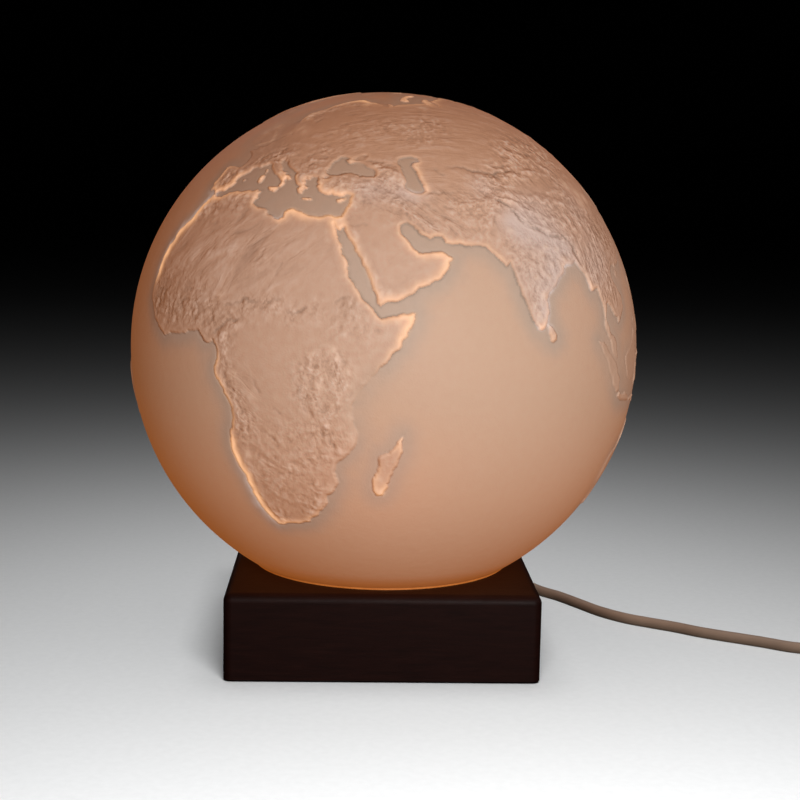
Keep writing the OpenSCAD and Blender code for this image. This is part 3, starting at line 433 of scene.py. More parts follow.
# mountain ranges: height, half width in degrees, then their crest
RANGES = [
    (0.9, 1.3, "-9.2,30.4 -6.8,31.6 -4.5,32.8 -1.5,33.8 2.0,34.8 6.0,35.6 9.0,36.2"), (0.3, 2.4, "3.5,23.0 6.0,23.6 8.5,24.2"),
    (0.35, 1.8, "16.2,19.8 18.4,21.8"), (0.25, 1.5, "8.4,17.5 8.8,19.8"), (0.45, 1.5, "22.8,12.0 24.4,14.4"), (0.4, 1.4, "8.5,9.5 10.0,10.2"),
    (0.7, 1.2, "9.2,4.5 10.6,6.2 12.6,7.4 14.4,8.0"), (0.4, 1.3, "-12.0,10.6 -10.8,9.2 -8.2,7.8"), (0.35, 1.2, "-9.0,9.4 -4.0,11.0 0.0,12.6 5.0,13.4 10.0,13.8"),
    (0.45, 2.0, "39.4,15.2 38.8,13.2 38.2,10.8 37.2,8.6 36.6,6.6"), (0.35, 1.6, "39.4,9.6 40.6,7.4 42.6,9.2"), (0.5, 1.0, "43.0,9.8 46.0,10.2 50.0,10.9"),
    (0.9, 0.9, "36.0,2.2 36.4,0.2 36.6,-1.6 36.0,-3.2 35.6,-5.4"), (0.9, 0.8, "30.8,3.0 30.2,0.8 29.4,-1.2 29.0,-3.4 28.8,-5.0"),
    (0.8, 0.9, "31.4,-4.0 31.6,-7.4 33.2,-9.0 34.2,-8.8 36.6,-7.6"), (0.7, 0.9, "33.4,-10.6 33.8,-13.4 35.0,-15.6 36.8,-15.4"),
    (0.6, 1.4, "13.6,-9.4 15.0,-12.2 14.6,-15.6"), (0.8, 0.9, "13.8,-17.4 14.8,-20.6 16.0,-23.4 17.0,-26.6 18.0,-30.0 19.6,-32.4"),
    (0.7, 0.8, "20.4,-33.2 23.8,-33.5 26.4,-32.4"), (1.0, 1.2, "27.2,-31.4 28.8,-30.0 29.6,-28.4 30.4,-26.4 30.6,-24.2"),
    (0.5, 1.0, "28.6,-20.6 30.6,-18.8 32.8,-18.6 32.6,-20.4"), (0.5, 1.2, "26.0,-12.4 29.6,-11.6 31.8,-10.6"), (0.35, 1.8, "20.0,-27.0 22.0,-24.0 25.6,-22.0"),
    (0.5, 0.8, "33.6,27.6 34.6,25.0 35.8,22.0 36.8,18.8"), (0.9, 0.9, "36.0,28.6 37.8,25.2 39.8,22.0 41.6,19.4 42.9,17.0 43.9,14.6"),
    (0.6, 1.1, "44.4,14.2 46.8,14.8 49.2,15.8 51.6,16.6"), (0.7, 0.7, "56.4,25.6 57.2,23.6 58.8,22.8"), (0.35, 1.4, "42.0,24.0 44.6,22.0 45.6,19.4"),
    (0.4, 0.5, "35.9,33.6 36.2,35.2"), (0.6, 0.6, "33.8,28.6 34.2,29.0"),
    (0.9, 0.55, "-1.6,43.0 0.8,42.7 2.8,42.4"), (0.6, 0.6, "-7.0,42.6 -4.4,43.0"), (0.5, 0.6, "-6.4,40.3 -3.6,41.0 -1.8,40.8"), (0.7, 0.6, "-5.4,36.9 -3.2,37.1 -1.8,38.2"),
    (1.3, 0.8, "6.8,44.2 7.0,45.8 9.2,46.5 11.6,47.0 14.0,47.3 15.6,47.6"), (0.7, 0.5, "8.8,44.5 11.0,44.1 13.2,42.6 15.0,41.0 16.2,39.6 16.3,38.6"),
    (0.7, 0.8, "17.6,49.0 20.0,49.3 22.8,48.8 24.8,47.8 26.0,46.2 25.2,45.5 22.8,45.3"), (0.8, 0.8, "14.6,45.6 16.6,44.4 18.6,43.2 20.2,42.2 21.0,40.6 21.8,39.0 22.2,37.6"),
    (0.6, 0.6, "22.6,43.4 25.0,42.8 27.0,42.9"), (0.6, 0.6, "23.4,41.8 25.0,41.6"), (0.4, 0.9, "2.8,45.4 3.6,44.6"), (0.4, 0.7, "12.8,50.5 15.6,50.8 18.0,49.8"),
    (1.0, 1.1, "6.6,60.2 8.4,61.8 12.0,63.4 14.2,65.2 17.0,67.6 20.4,69.0"), (0.5, 0.6, "-5.0,56.6 -3.8,57.4"), (0.3, 0.5, "-3.5,52.2 -2.4,54.4"), (0.5, 1.0, "-19.0,64.8 -16.6,65.0"),
    (0.8, 0.8, "29.4,37.2 32.4,37.2 35.4,37.8 38.0,38.4 41.4,38.6 44.0,38.2"), (0.8, 0.7, "31.0,40.9 34.0,41.3 37.0,40.6 40.0,40.7 42.2,41.0"),
    (1.4, 0.75, "37.8,44.2 40.4,43.6 43.0,42.9 45.6,42.4 47.8,41.4"), (1.1, 1.2, "44.6,38.0 46.0,35.6 48.2,33.6 50.2,31.8 52.2,29.8 54.8,28.2 57.0,27.4"),
    (1.1, 0.7, "47.6,38.4 49.4,37.0 51.4,36.1 53.6,36.2 56.0,37.2 58.6,37.4 60.6,36.2"), (0.6, 1.2, "57.0,29.4 59.4,31.6 60.4,33.8"), (0.7, 0.9, "58.4,26.6 62.0,26.6 65.4,26.6"),
    (1.0, 0.9, "66.2,26.4 67.0,28.6 68.4,30.6 69.8,32.6 71.0,34.4"), (1.4, 1.0, "62.0,34.8 65.4,34.8 68.4,35.2 71.2,36.0 74.0,36.8"),
    (1.9, 0.9, "72.4,35.0 74.8,34.2 77.0,32.4 79.2,30.9 81.6,29.6 84.0,28.6 86.8,28.0 89.6,28.0 92.6,28.0 95.4,29.2"),
    (1.6, 1.0, "73.6,36.6 76.4,35.9 78.6,34.8"), (1.5, 1.1, "74.2,38.6 77.4,36.9 81.6,36.2 86.0,36.8 90.6,36.6 95.0,35.8"), (1.0, 1.0, "80.0,33.4 85.0,31.6 90.0,30.6 94.0,31.4"),
    (1.0, 0.8, "92.0,38.4 96.0,38.4 100.0,38.0 102.4,37.2"), (1.4, 1.1, "68.6,39.2 71.2,38.8 73.2,38.8"), (1.4, 0.9, "70.6,41.6 73.6,41.4 76.4,41.6 79.8,42.2 83.4,42.6 87.0,43.0 91.0,43.2 94.0,43.2"),
    (1.0, 1.0, "82.6,50.0 86.0,49.4 88.6,48.6 91.6,47.2 95.0,46.2 98.4,45.2"), (0.9, 1.1, "89.0,52.6 93.0,52.6 97.0,52.6 100.6,51.8"), (0.7, 1.0, "94.0,50.6 98.0,50.0 100.4,48.6"),
    (0.8, 1.0, "103.0,52.0 106.6,51.2 110.4,53.6 113.4,55.6 117.4,56.6"), (0.7, 1.2, "111.0,50.4 116.0,53.4 121.0,55.4 127.0,56.2 133.0,56.2 137.0,57.6"),
    (0.9, 1.1, "126.0,71.0 128.4,67.6 130.4,64.6 136.0,62.6 140.4,61.4"), (0.9, 1.1, "137.0,68.0 142.0,66.6 147.0,64.8 152.0,62.8"), (0.6, 1.3, "158.0,65.6 164.0,66.6 171.0,66.4 177.0,67.0"),
    (0.9, 0.8, "157.4,52.6 158.8,55.4 160.8,57.6 163.0,60.4"), (0.6, 0.7, "57.6,51.6 58.6,54.6 59.2,58.0 59.8,61.6 61.8,64.8 65.4,67.4"), (0.5, 1.0, "92.0,68.6 97.0,69.2"), (0.4, 0.8, "100.0,74.4 106.0,75.4"),
    (0.8, 0.6, "93.6,18.6 94.0,21.0 94.4,23.6 95.6,26.0 97.0,28.0"), (0.7, 0.7, "98.0,15.6 97.6,18.0 98.4,20.4 98.6,23.0 99.0,25.6"), (0.9, 0.6, "98.6,26.0 98.9,28.6 98.6,30.6"),
    (0.9, 0.6, "100.4,26.0 101.2,28.6 101.6,31.0 103.4,33.0"), (0.7, 0.8, "101.0,18.0 101.6,20.6 102.4,23.4"), (0.6, 0.6, "103.6,20.0 105.0,18.4 106.6,16.6 107.8,14.6 108.4,12.4"), (0.4, 0.5, "98.9,9.6 99.6,8.2"),
    (0.5, 0.6, "101.2,5.6 102.2,3.6"), (0.7, 0.8, "104.0,34.0 107.6,33.8 110.8,33.8"), (0.6, 1.0, "103.6,27.6 107.0,26.4 110.6,25.4 114.4,25.0 117.0,26.4 118.8,28.2"),
    (0.6, 0.8, "110.6,31.6 109.6,29.6"), (0.6, 0.9, "112.0,35.2 113.4,38.0 115.6,40.6"), (0.6, 1.0, "117.6,43.6 119.6,46.8 121.4,50.0 123.0,52.4"), (0.5, 0.9, "127.4,41.6 129.4,44.0 131.8,46.4"),
    (0.5, 0.5, "128.6,37.0 127.8,39.6"), (0.8, 0.45, "73.9,20.4 73.9,17.6 74.7,14.6 75.7,12.4 77.0,9.6"), (0.45, 0.8, "77.8,11.6 78.8,14.2 80.0,16.4 82.6,18.6 85.2,21.2"),
    (0.4, 0.7, "74.2,21.6 78.0,22.2 81.6,22.8"), (0.35, 0.5, "73.0,24.6 75.8,27.0"), (0.5, 0.5, "80.7,7.2 80.8,6.7"), (0.7, 0.6, "95.8,5.0 97.8,3.2 99.6,0.8 101.2,-1.6 102.8,-3.6 104.4,-5.0"),
    (0.6, 0.4, "106.4,-6.8 109.6,-7.3 112.8,-7.9 116.4,-8.5 120.0,-8.6"), (0.7, 0.8, "110.6,1.0 113.6,2.0 115.4,4.0 116.6,6.0"), (0.5, 0.6, "114.6,0.6 113.0,-0.8"), (0.6, 0.5, "119.9,-3.2 120.6,-1.4 120.4,0.6"),
    (0.6, 0.5, "120.8,16.4 121.2,18.0"), (0.5, 0.5, "125.0,7.0 125.6,8.8"), (0.7, 0.4, "120.8,22.8 121.2,24.4"), (0.6, 0.6, "49.0,-14.4 48.2,-17.0 47.4,-19.6 46.8,-22.2"),
    (0.8, 0.5, "132.4,34.6 135.0,35.2 137.6,36.2 139.4,37.0 140.8,39.6"), (0.5, 0.6, "142.8,43.4 143.0,42.8"), (0.5, 0.4, "142.6,50.6 142.9,47.6"),
    (1.3, 0.8, "133.4,-2.8 136.4,-3.9 139.4,-4.5 142.6,-5.2 145.6,-6.0 148.0,-8.8"), (0.6, 1.0, "145.0,-16.6 146.6,-19.6 149.0,-23.4 151.6,-27.0 151.6,-30.6 149.4,-34.4 147.6,-36.8"),
    (0.35, 1.2, "129.4,-23.6 134.4,-23.8"), (0.35, 1.3, "117.6,-22.6 119.8,-23.2"), (0.4, 0.7, "138.8,-31.6 138.6,-33.0"), (0.9, 0.5, "171.0,-42.6 169.2,-44.4 167.6,-45.6"), (0.5, 0.5, "175.6,-39.2 177.2,-38.2"),
    (0.9, 1.2, "-151.0,62.8 -147.0,63.2 -141.0,61.4 -136.6,59.8 -131.6,57.0 -127.6,53.2 -123.4,50.2"), (0.6, 1.4, "-158.0,68.2 -150.0,68.4 -142.0,68.6"), (0.9, 1.2, "-134.0,64.0 -128.6,61.0 -124.4,57.0 -120.6,54.0 -116.4,51.0 -113.4,48.0"),
    (1.0, 1.4, "-113.0,46.6 -110.4,44.4 -107.4,41.6 -106.2,39.0 -105.6,36.2"), (0.7, 1.4, "-112.6,41.0 -111.6,38.0 -109.6,34.6"), (0.8, 0.7, "-121.8,48.0 -121.8,44.6 -121.4,41.0 -119.4,37.8 -117.6,34.6"),
    (0.8, 1.0, "-108.4,30.6 -106.6,26.6 -104.6,23.4 -102.4,20.4"), (0.7, 0.8, "-100.6,25.4 -98.8,21.4 -97.0,18.4 -95.6,16.8 -92.0,15.4 -88.4,14.4 -85.6,12.8 -83.6,9.6"),
    (0.6, 0.8, "-85.4,34.6 -82.4,36.4 -79.4,38.6 -76.6,41.0 -73.6,43.4 -70.6,45.0"), (0.5, 1.2, "-66.0,58.6 -63.0,56.6"), (0.8, 1.2, "-68.6,67.4 -74.0,70.6"), (0.8, 1.2, "-72.0,79.6 -80.0,81.4"),
    (0.9, 2.0, "-42.0,64.6 -46.0,68.6"), (0.7, 1.2, "-26.0,70.2 -24.0,74.0 -23.0,78.0"), (1.5, 0.9, "-72.6,8.6 -74.4,5.0 -77.2,1.4 -78.8,-2.4 -78.6,-6.0 -76.6,-10.2 -73.6,-13.6 -70.4,-15.6 -68.2,-17.4"),
    (1.5, 1.2, "-68.2,-17.4 -67.2,-20.6 -66.8,-24.0 -68.6,-28.0 -70.0,-32.0 -70.8,-36.0 -71.6,-40.4 -72.6,-45.0 -73.0,-49.4 -71.0,-54.0"), (0.5, 1.4, "-42.0,-13.0 -43.6,-17.0 -44.4,-20.6 -47.6,-23.4 -50.0,-27.0"),
    (0.5, 1.4, "-65.0,4.6 -61.4,5.2 -58.0,3.6"), (0.3, 1.8, "-47.6,-15.4 -52.6,-15.4"),
]
# broad high ground: height, radius in degrees, place
PLATEAUS = [
    (1.1, 4.5, 82, 33.2), (1.1, 4.6, 88, 33.4), (1.1, 4.4, 94, 33.4), (0.9, 3.0, 99.5, 32.5), (0.6, 3.6, 38.5, 10.0), (0.4, 4.0, 33.5, -5.0), (0.4, 4.2, 29.5, -12.5),
    (0.45, 4.6, 26.0, -28.0), (0.35, 4.6, 19.0, -23.0), (0.4, 3.6, 16.5, -13.5), (0.35, 5.0, 24.6, -17.5), (0.4, 3.6, 34.0, 38.8), (0.4, 4.6, 56.0, 32.0), (0.35, 3.6, 45.0, 23.5), (0.4, 2.6, 45.5, 15.6),
    (0.3, 4.0, 76.6, 16.6), (0.25, 3.0, 79.0, 22.0), (0.3, 4.0, 17.0, 20.0), (0.2, 5.0, 5.0, 24.0), (0.5, 4.6, 103.0, 46.5), (0.5, 3.4, 103.5, 26.0), (0.3, 5.0, 98.0, 64.0), (0.3, 2.2, -4.0, 40.5),
    (0.6, 3.4, -67.8, -19.8), (0.5, 4.6, -110.0, 39.0), (0.5, 3.6, -103.0, 24.0), (0.8, 7.0, -41.0, 72.0), (0.7, 6.0, -40.0, 78.0), (0.3, 6.0, -46.0, -16.0), (0.3, 2.6, 47.0, -18.6),
]
# low ground: depth, half width, course
LOWS = [
    (0.42, 0.75, "32.4,-1.6 33.2,-0.6 33.0,-1.8"), (0.3, 0.4, "29.2,-3.4 29.6,-5.6 30.7,-8.4"), (0.3, 0.35, "34.3,-9.8 34.6,-11.6 35.0,-13.8"),
    (0.3, 0.4, "104.2,51.7 106.6,52.6 108.6,54.0 109.4,55.3"), (0.2, 0.6, "31.2,60.6 32.2,60.8"), (0.2, 0.5, "75.0,46.4 78.0,46.6"),
    (0.30, 0.5, "36.2,4.0 35.8,2.0 36.1,-0.4 36.0,-2.6"), (0.30, 0.45, "31.0,2.2 29.8,-0.4 29.3,-2.6 29.6,-6.0 31.2,-8.4 32.4,-8.0"), (0.30, 0.45, "34.2,-9.8 34.8,-12.0 35.0,-14.6 35.2,-17.0"),
    (0.2, 0.5, "38.2,7.2 40.0,9.6 41.6,12.0"), (0.2, 0.8, "71.4,31.0 74.6,30.4 77.8,28.4 81.6,26.4 86.0,25.6 89.0,24.8"),
    (0.15, 0.6, "68.2,25.2 69.6,28.2 71.4,31.0"), (0.2, 0.7, "90.2,26.6 94.0,27.2"), (0.15, 0.5, "95.6,17.2 95.6,21.0 96.2,24.0"),
]
# sharp steps and creases, cut into the relief and darkened with painted shade: depth, then their course
CREASES = [
    (1.9, "71.6,36.1 73.0,35.8 74.1,35.3 75.2,34.4 76.2,33.4 77.2,32.4 78.2,31.3"),
    (1.7, "71.8,35.9 72.3,35.7 75.4,33.8 77.7,31.3 80.5,29.7 84.0,28.2 87.1,27.8 89.5,27.9 91.9,25.6 92.2,22.4 93.6,19.4"),
    (1.2, "61.1,44.3 64.6,44.4 66.9,43.9 68.6,43.2 72.8,43.0 76.1,43.1 82.4,43.6 85.0,43.2"), (0.9, "58.5,45.4 59.1,45.8 59.9,45.6 60.1,44.6"), (0.7, "57.6,43.6 58.1,42.9 59.1,42.2 60.2,41.6"),
    (0.7, "53.8,37.1 56.0,37.4 58.5,37.4 60.6,37.2 63.0,37.8"), (0.4, "71.5,32.9 70.5,30.6 70.8,28.4"), (0.5, "58.0,34.3 59.5,33.8 60.8,33.9"), (0.5, "60.9,30.5 59.5,31.2 57.3,32.4 54.7,33.7 51.6,34.4"),
    (0.5, "50.7,32.9 52.9,31.0 55.4,29.4 57.2,28.6"), (0.45, "43.7,34.6 47.2,35.1 49.6,34.0 51.4,32.5 54.4,30.9 56.9,28.9"), (0.4, "45.2,36.6 48.0,35.5 50.8,35.2 53.2,34.5"),
    (0.6, "78.6,36.2 80.7,34.3 83.9,33.1"), (0.6, "80.3,35.5 84.3,35.5 86.9,35.0 90.0,34.0"), (0.6, "73.5,42.5 73.2,39.9 71.4,38.1"), (0.6, "74.1,45.3 77.2,44.7 81.3,45.3"),
    (0.6, "2.9,42.8 3.3,44.5 4.5,46.0 6.6,47.2 8.9,48.3 11.6,48.1"), (0.6, "4.0,43.0 5.9,44.5 8.0,45.7 9.9,46.5 12.1,46.7"), (0.5, "12.5,45.5 15.5,43.6 18.2,41.8 19.7,40.2"), (0.5, "21.8,43.6 23.5,44.4 25.9,44.6 27.6,45.4"),
    (0.4, "20.1,46.0 22.2,47.1 25.5,48.1"), (0.7, "38.3,45.3 41.1,45.4 44.0,44.3 46.7,43.9"), (0.5, "34.4,41.6 37.1,41.4 39.7,41.3 42.4,40.5"), (0.45, "36.6,38.6 40.0,38.3 42.5,37.7 45.4,36.8 47.4,34.8"),
    (0.6, "96.1,27.9 95.9,23.4 96.9,19.1 98.1,13.5"), (0.6, "101.0,27.9 102.4,22.6 102.8,18.2 103.5,14.7"), (0.6, "105.3,25.5 107.1,21.0 107.8,16.6"), (0.5, "98.6,26.0 99.6,20.4 100.6,15.8"),
    (0.5, "77.7,20.0 78.0,17.7 77.1,15.3"), (0.5, "82.5,23.5 81.3,21.4 82.2,19.7"), (0.45, "75.2,22.6 76.4,20.6 76.6,18.2"), (0.45, "79.6,24.4 79.2,22.0 80.0,18.6"), (0.4, "85.2,24.0 84.4,22.0 85.0,20.4"),
    (0.9, "9.8,11.5 12.2,12.2 14.0,12.7 15.0,13.6 17.7,12.9 19.4,12.9"), (0.9, "20.3,13.0 21.9,13.7 23.8,13.6"), (0.8, "24.3,11.3 26.4,11.0 27.9,11.5 28.6,12.2 29.6,12.7"), (0.5, "16.1,27.0 17.3,27.7 18.5,27.8"),
    (0.9, "7.9,5.7 9.0,7.1 10.4,7.9 13.6,9.1 14.9,9.7"), (0.5, "34.8,13.2 35.5,14.0 37.8,14.6"), (0.4, "16.1,20.5 17.4,22.7 17.5,25.0"), (0.35, "21.1,18.4 22.4,20.7 22.9,21.5"), (0.35, "32.0,23.4 32.9,24.8"),
    (0.35, "36.6,29.2 40.8,29.1"), (0.5, "35.6,4.8 36.4,2.6 37.9,1.2"), (0.5, "28.2,-1.8 28.4,-3.5 29.0,-5.9 30.2,-8.3"), (0.5, "31.7,-7.5 33.3,-7.7 34.9,-7.9"), (0.7, "33.1,-10.6 33.3,-12.5 34.2,-14.1 35.7,-15.9"),
    (0.5, "21.8,-17.9 22.7,-19.0"), (0.4, "31.7,-16.8 31.8,-19.5"), (0.35, "22.5,-7.3 23.7,-8.4 24.4,-9.0"), (0.35, "20.0,-12.2 21.7,-13.3 22.5,-14.9"), (0.35, "26.4,-16.5 27.5,-15.8"),
    (0.4, "11.2,-3.6 12.6,-5.9 13.3,-8.3 13.6,-10.8"), (0.4, "18.2,-2.1 19.5,-4.4 19.8,-5.3"), (0.35, "12.6,36.3 13.0,35.0"), (0.5, "-9.0,14.0 -7.4,12.2 -6.6,10.0"), (0.5, "-3.4,13.0 -2.2,11.4 -2.4,9.6"), (0.5, "2.0,12.6 3.4,10.8 3.2,9.2"),
    (0.4, "-12.4,14.6 -11.4,12.6 -11.6,10.6"), (0.4, "-7.4,40.6 -5.4,40.2 -3.4,40.8"), (0.4, "-5.0,38.6 -3.0,38.4 -1.6,39.0"),
]
# peaks that stand out, raised and given a painted highlight: place, reach in degrees, strength
PEAKS = [
    (-6.5, 37.6, 0.7, 0.9), (-5.5, 39.3, 0.7, 0.8), (-4.9, 40.7, 0.7, 0.9), (-3.6, 41.9, 0.7, 0.9), (-0.3, 41.6, 0.8, 0.9), (-0.8, 38, 0.6, 0.6), (-6.3, 38.7, 0.6, 0.7), (9.3, 40.1, 0.6, 0.8), (8.9, 42.1, 0.4, 0.6),
    (14.5, 41.7, 0.6, 0.7), (16.6, 40.8, 0.7, 0.9), (16.6, 39.1, 0.5, 0.7), (13.8, 37.6, 0.8, 0.9), (21.9, 37.9, 0.8, 0.9), (22.8, 38.6, 0.7, 0.8), (21.8, 40.5, 0.7, 0.7), (23, 40.9, 0.6, 0.5),
    (20.1, 40.9, 0.6, 0.5), (27.1, 41.4, 0.7, 0.7), (24.9, 42.3, 0.6, 0.5), (24, 39.6, 0.5, 0.5), (29.1, 37.6, 1, 0.9), (32.9, 38.1, 1.2, 1), (34.6, 38.2, 0.8, 0.8), (27.2, 39.1, 0.8, 0.8), (28.5, 36.8, 0.6, 0.7),
    (30.6, 38.9, 0.8, 0.5), (33, 35.5, 0.6, 0.6), (24.5, 35.6, 0.4, 0.5), (41.9, 44, 0.5, 0.7), (44.9, 41.8, 0.6, 0.7), (46.2, 40.8, 0.6, 0.7), (47.9, 40.2, 0.9, 1), (48.1, 39.3, 0.7, 0.9), (48.8, 40.8, 0.5, 0.6),
    (45, 39.2, 0.6, 0.6), (46.2, 38.4, 0.7, 0.7), (51.9, 45.2, 0.5, 1), (52.7, 43.8, 0.6, 0.7), (53.5, 41.2, 0.5, 0.6), (54.4, 38.6, 0.6, 0.8), (-5.7, 58.3, 0.7, 0.9), (-5.9, 54.5, 0.7, 0.5), (0.8, 53.2, 0.8, 0.7),
    (2.5, 50.8, 0.8, 0.7), (10.5, 56.2, 0.9, 0.5), (13, 54.6, 0.8, 0.6), (8.9, 55.6, 0.7, 0.4), (7.9, 62.6, 1, 1), (7.6, 61, 0.9, 0.8), (61.1, 76.5, 0.9, 0.9), (66.9, 71.3, 1.1, 0.9), (77.1, 74.1, 1, 0.9),
    (71.5, 70.4, 0.8, 0.8), (61.9, 66.8, 0.9, 0.8), (94.6, 75.4, 0.9, 0.6), (33.7, 45.5, 0.5, 0.7), (41.2, 43.8, 0.5, 0.8), (46.5, 57.6, 0.8, 0.35), (50.8, 56.4, 0.8, 0.35), (56.5, 58.6, 0.8, 0.35),
    (41.7, 55.5, 0.7, 0.3), (34.6, 53.2, 0.6, 0.35), (28.6, 55, 0.7, 0.3), (9.4, 47, 0.6, 0.5), (5.8, 46, 0.6, 0.5), (3.4, 45, 0.6, 0.5), (74.5, 45.1, 0.6, 0.8), (78, 45.9, 0.6, 0.7), (78.3, 43.8, 0.7, 0.5),
    (84, 46.1, 0.7, 0.7), (93, 50.9, 1, 0.8), (90.8, 48.1, 0.7, 0.6), (91.1, 47.1, 0.7, 0.7), (95.3, 47, 0.7, 0.7), (104.2, 49.5, 1, 0.8), (80.1, 40.5, 0.8, 0.8), (84.2, 41.9, 0.8, 0.6), (72.2, 39.4, 0.6, 0.8),
    (72.8, 41.1, 0.6, 0.6), (74.9, 36, 0.5, 0.7), (76.6, 35.4, 0.6, 0.6), (104.2, 40.7, 1.2, 0.9), (108.3, 38.1, 1.6, 0.9), (106.6, 35.9, 1.6, 0.8), (120.7, 43.9, 1.2, 0.7), (111.9, 37, 1.4, 0.8),
    (97.2, 38.3, 1, 0.5), (74.1, 29.2, 0.7, 0.5), (82.8, 25.6, 0.6, 0.5), (86.3, 21.4, 0.8, 0.7), (87.4, 22.8, 0.8, 0.6), (77.9, 19, 0.5, 0.7), (77.4, 11.7, 0.7, 0.8), (78.4, 10.4, 0.6, 0.9), (77.6, 9.1, 0.5, 0.9),
    (79.7, 15.3, 0.6, 0.9), (74, 16.7, 0.4, 0.4), (78.4, 27.1, 0.6, 0.4), (81.1, 23.9, 0.5, 0.5), (85.6, 24.9, 0.6, 0.5), (81.6, 19.3, 0.6, 0.6), (48.6, 27, 0.6, 0.7), (50, 25.3, 0.6, 0.5), (58.1, 23, 0.6, 0.6),
    (94.7, 17.4, 0.8, 0.9), (94.2, 19.2, 0.7, 0.7), (93.8, 20.9, 0.6, 0.5), (92.9, 24.2, 0.6, 0.5), (98.6, 10.3, 0.8, 0.5), (99.6, 8.2, 0.8, 0.6), (81, 7.3, 0.5, 0.5), (71.9, 32.2, 0.6, 0.5), (67.5, 27.3, 0.6, 0.5),
    (31.6, 27.5, 0.5, 0.6), (32.1, 25.8, 0.5, 0.6), (34.6, 24.7, 0.6, 0.5), (36.1, 22, 0.6, 0.8), (35.9, 18.9, 0.6, 0.5), (37.6, 18.2, 0.6, 0.8), (38.8, 16.7, 0.6, 0.8), (40, 15.2, 0.8, 0.9), (41.6, 13.4, 0.8, 0.7),
    (38.1, 26.4, 0.6, 0.7), (38.7, 24.8, 0.6, 0.8), (40.1, 22.1, 0.7, 0.8), (40.9, 21.3, 0.6, 0.7), (41.8, 18.3, 0.7, 0.6), (43.8, 15.3, 0.8, 0.8), (45.3, 15.4, 0.7, 0.5), (1.6, 35.1, 0.8, 0.8), (5, 35.2, 0.8, 0.8),
    (7.3, 35.7, 0.8, 0.8), (0.2, 34.2, 0.7, 0.7), (9.7, 35.7, 0.8, 0.8), (-3.4, 31.3, 0.8, 0.5), (14.9, 31.3, 0.7, 0.5), (36.4, 34, 0.8, 0.7), (38.1, 35.4, 0.7, 0.5), (37.7, 34.5, 0.7, 0.5), (34.2, 30.5, 0.8, 0.8),
    (34.9, 4.4, 0.9, 0.9), (35.7, 3, 0.8, 0.9), (33.1, -0.1, 0.8, 0.7), (30.4, 3.5, 0.7, 0.7), (32.8, -1.2, 0.7, 0.6), (38, 0.5, 1.2, 0.5), (8.8, 4.4, 0.7, 0.6), (9.4, 1.8, 0.7, 0.4), (13.8, -1.3, 1, 0.5),
    (8.8, 13.9, 0.9, 0.5), (22, 12.7, 0.6, 0.4), (11.3, 2.7, 0.6, 0.4), (50.3, 11, 0.7, 0.5), (10.8, -3.6, 0.7, 0.5), (15.5, -17.9, 0.9, 0.8), (25.1, -20.2, 0.8, 0.5), (17.7, -20.2, 0.9, 0.4),
    (33.7, -24.3, 0.9, 0.8), (30.5, -28.4, 0.8, 0.7), (28, -31.8, 0.8, 0.7), (44.7, -24.6, 0.9, 0.9), (44.3, -21.7, 0.8, 0.6), (48.6, -13.3, 0.7, 0.9), (32.4, -2.7, 1, 0.7), (38.4, -2.8, 1, 0.6),
    (35.1, -5.9, 1, 0.6), (23.5, -5.7, 0.8, 0.4), (38.1, -8.5, 0.8, 0.5), (21.3, -13, 0.8, 0.5), (13.9, -1.5, 0.9, 0.5), (18.1, -5.5, 1.2, 0.4), (38.7, -12.9, 1.2, 0.5), (39.1, -16.1, 0.9, 0.6),
]
# specks of painted highlight where a coast has faded: place, reach in degrees, strength
HIGHLIGHT_SPECKS = [(-6.9, 58.3, 1.3, .8), (-5.2, 57.2, 1.0, .7), (-7.9, 55.2, 1.2, .6), (0.3, 53.5, 1.0, .6), (8.9, 56.2, 1.2, .7), (13.7, 54.6, 1.1, .6), (6.7, 57.3, 1.0, .5), (8.1, 54.3, 1.0, .4), (25.6, 54.6, 1.2, .35), (53.8, 58.5, 1.4, .5), (56.5, 56.9, 1.4, .55), (47.1, 57.3, 1.3, .4)]

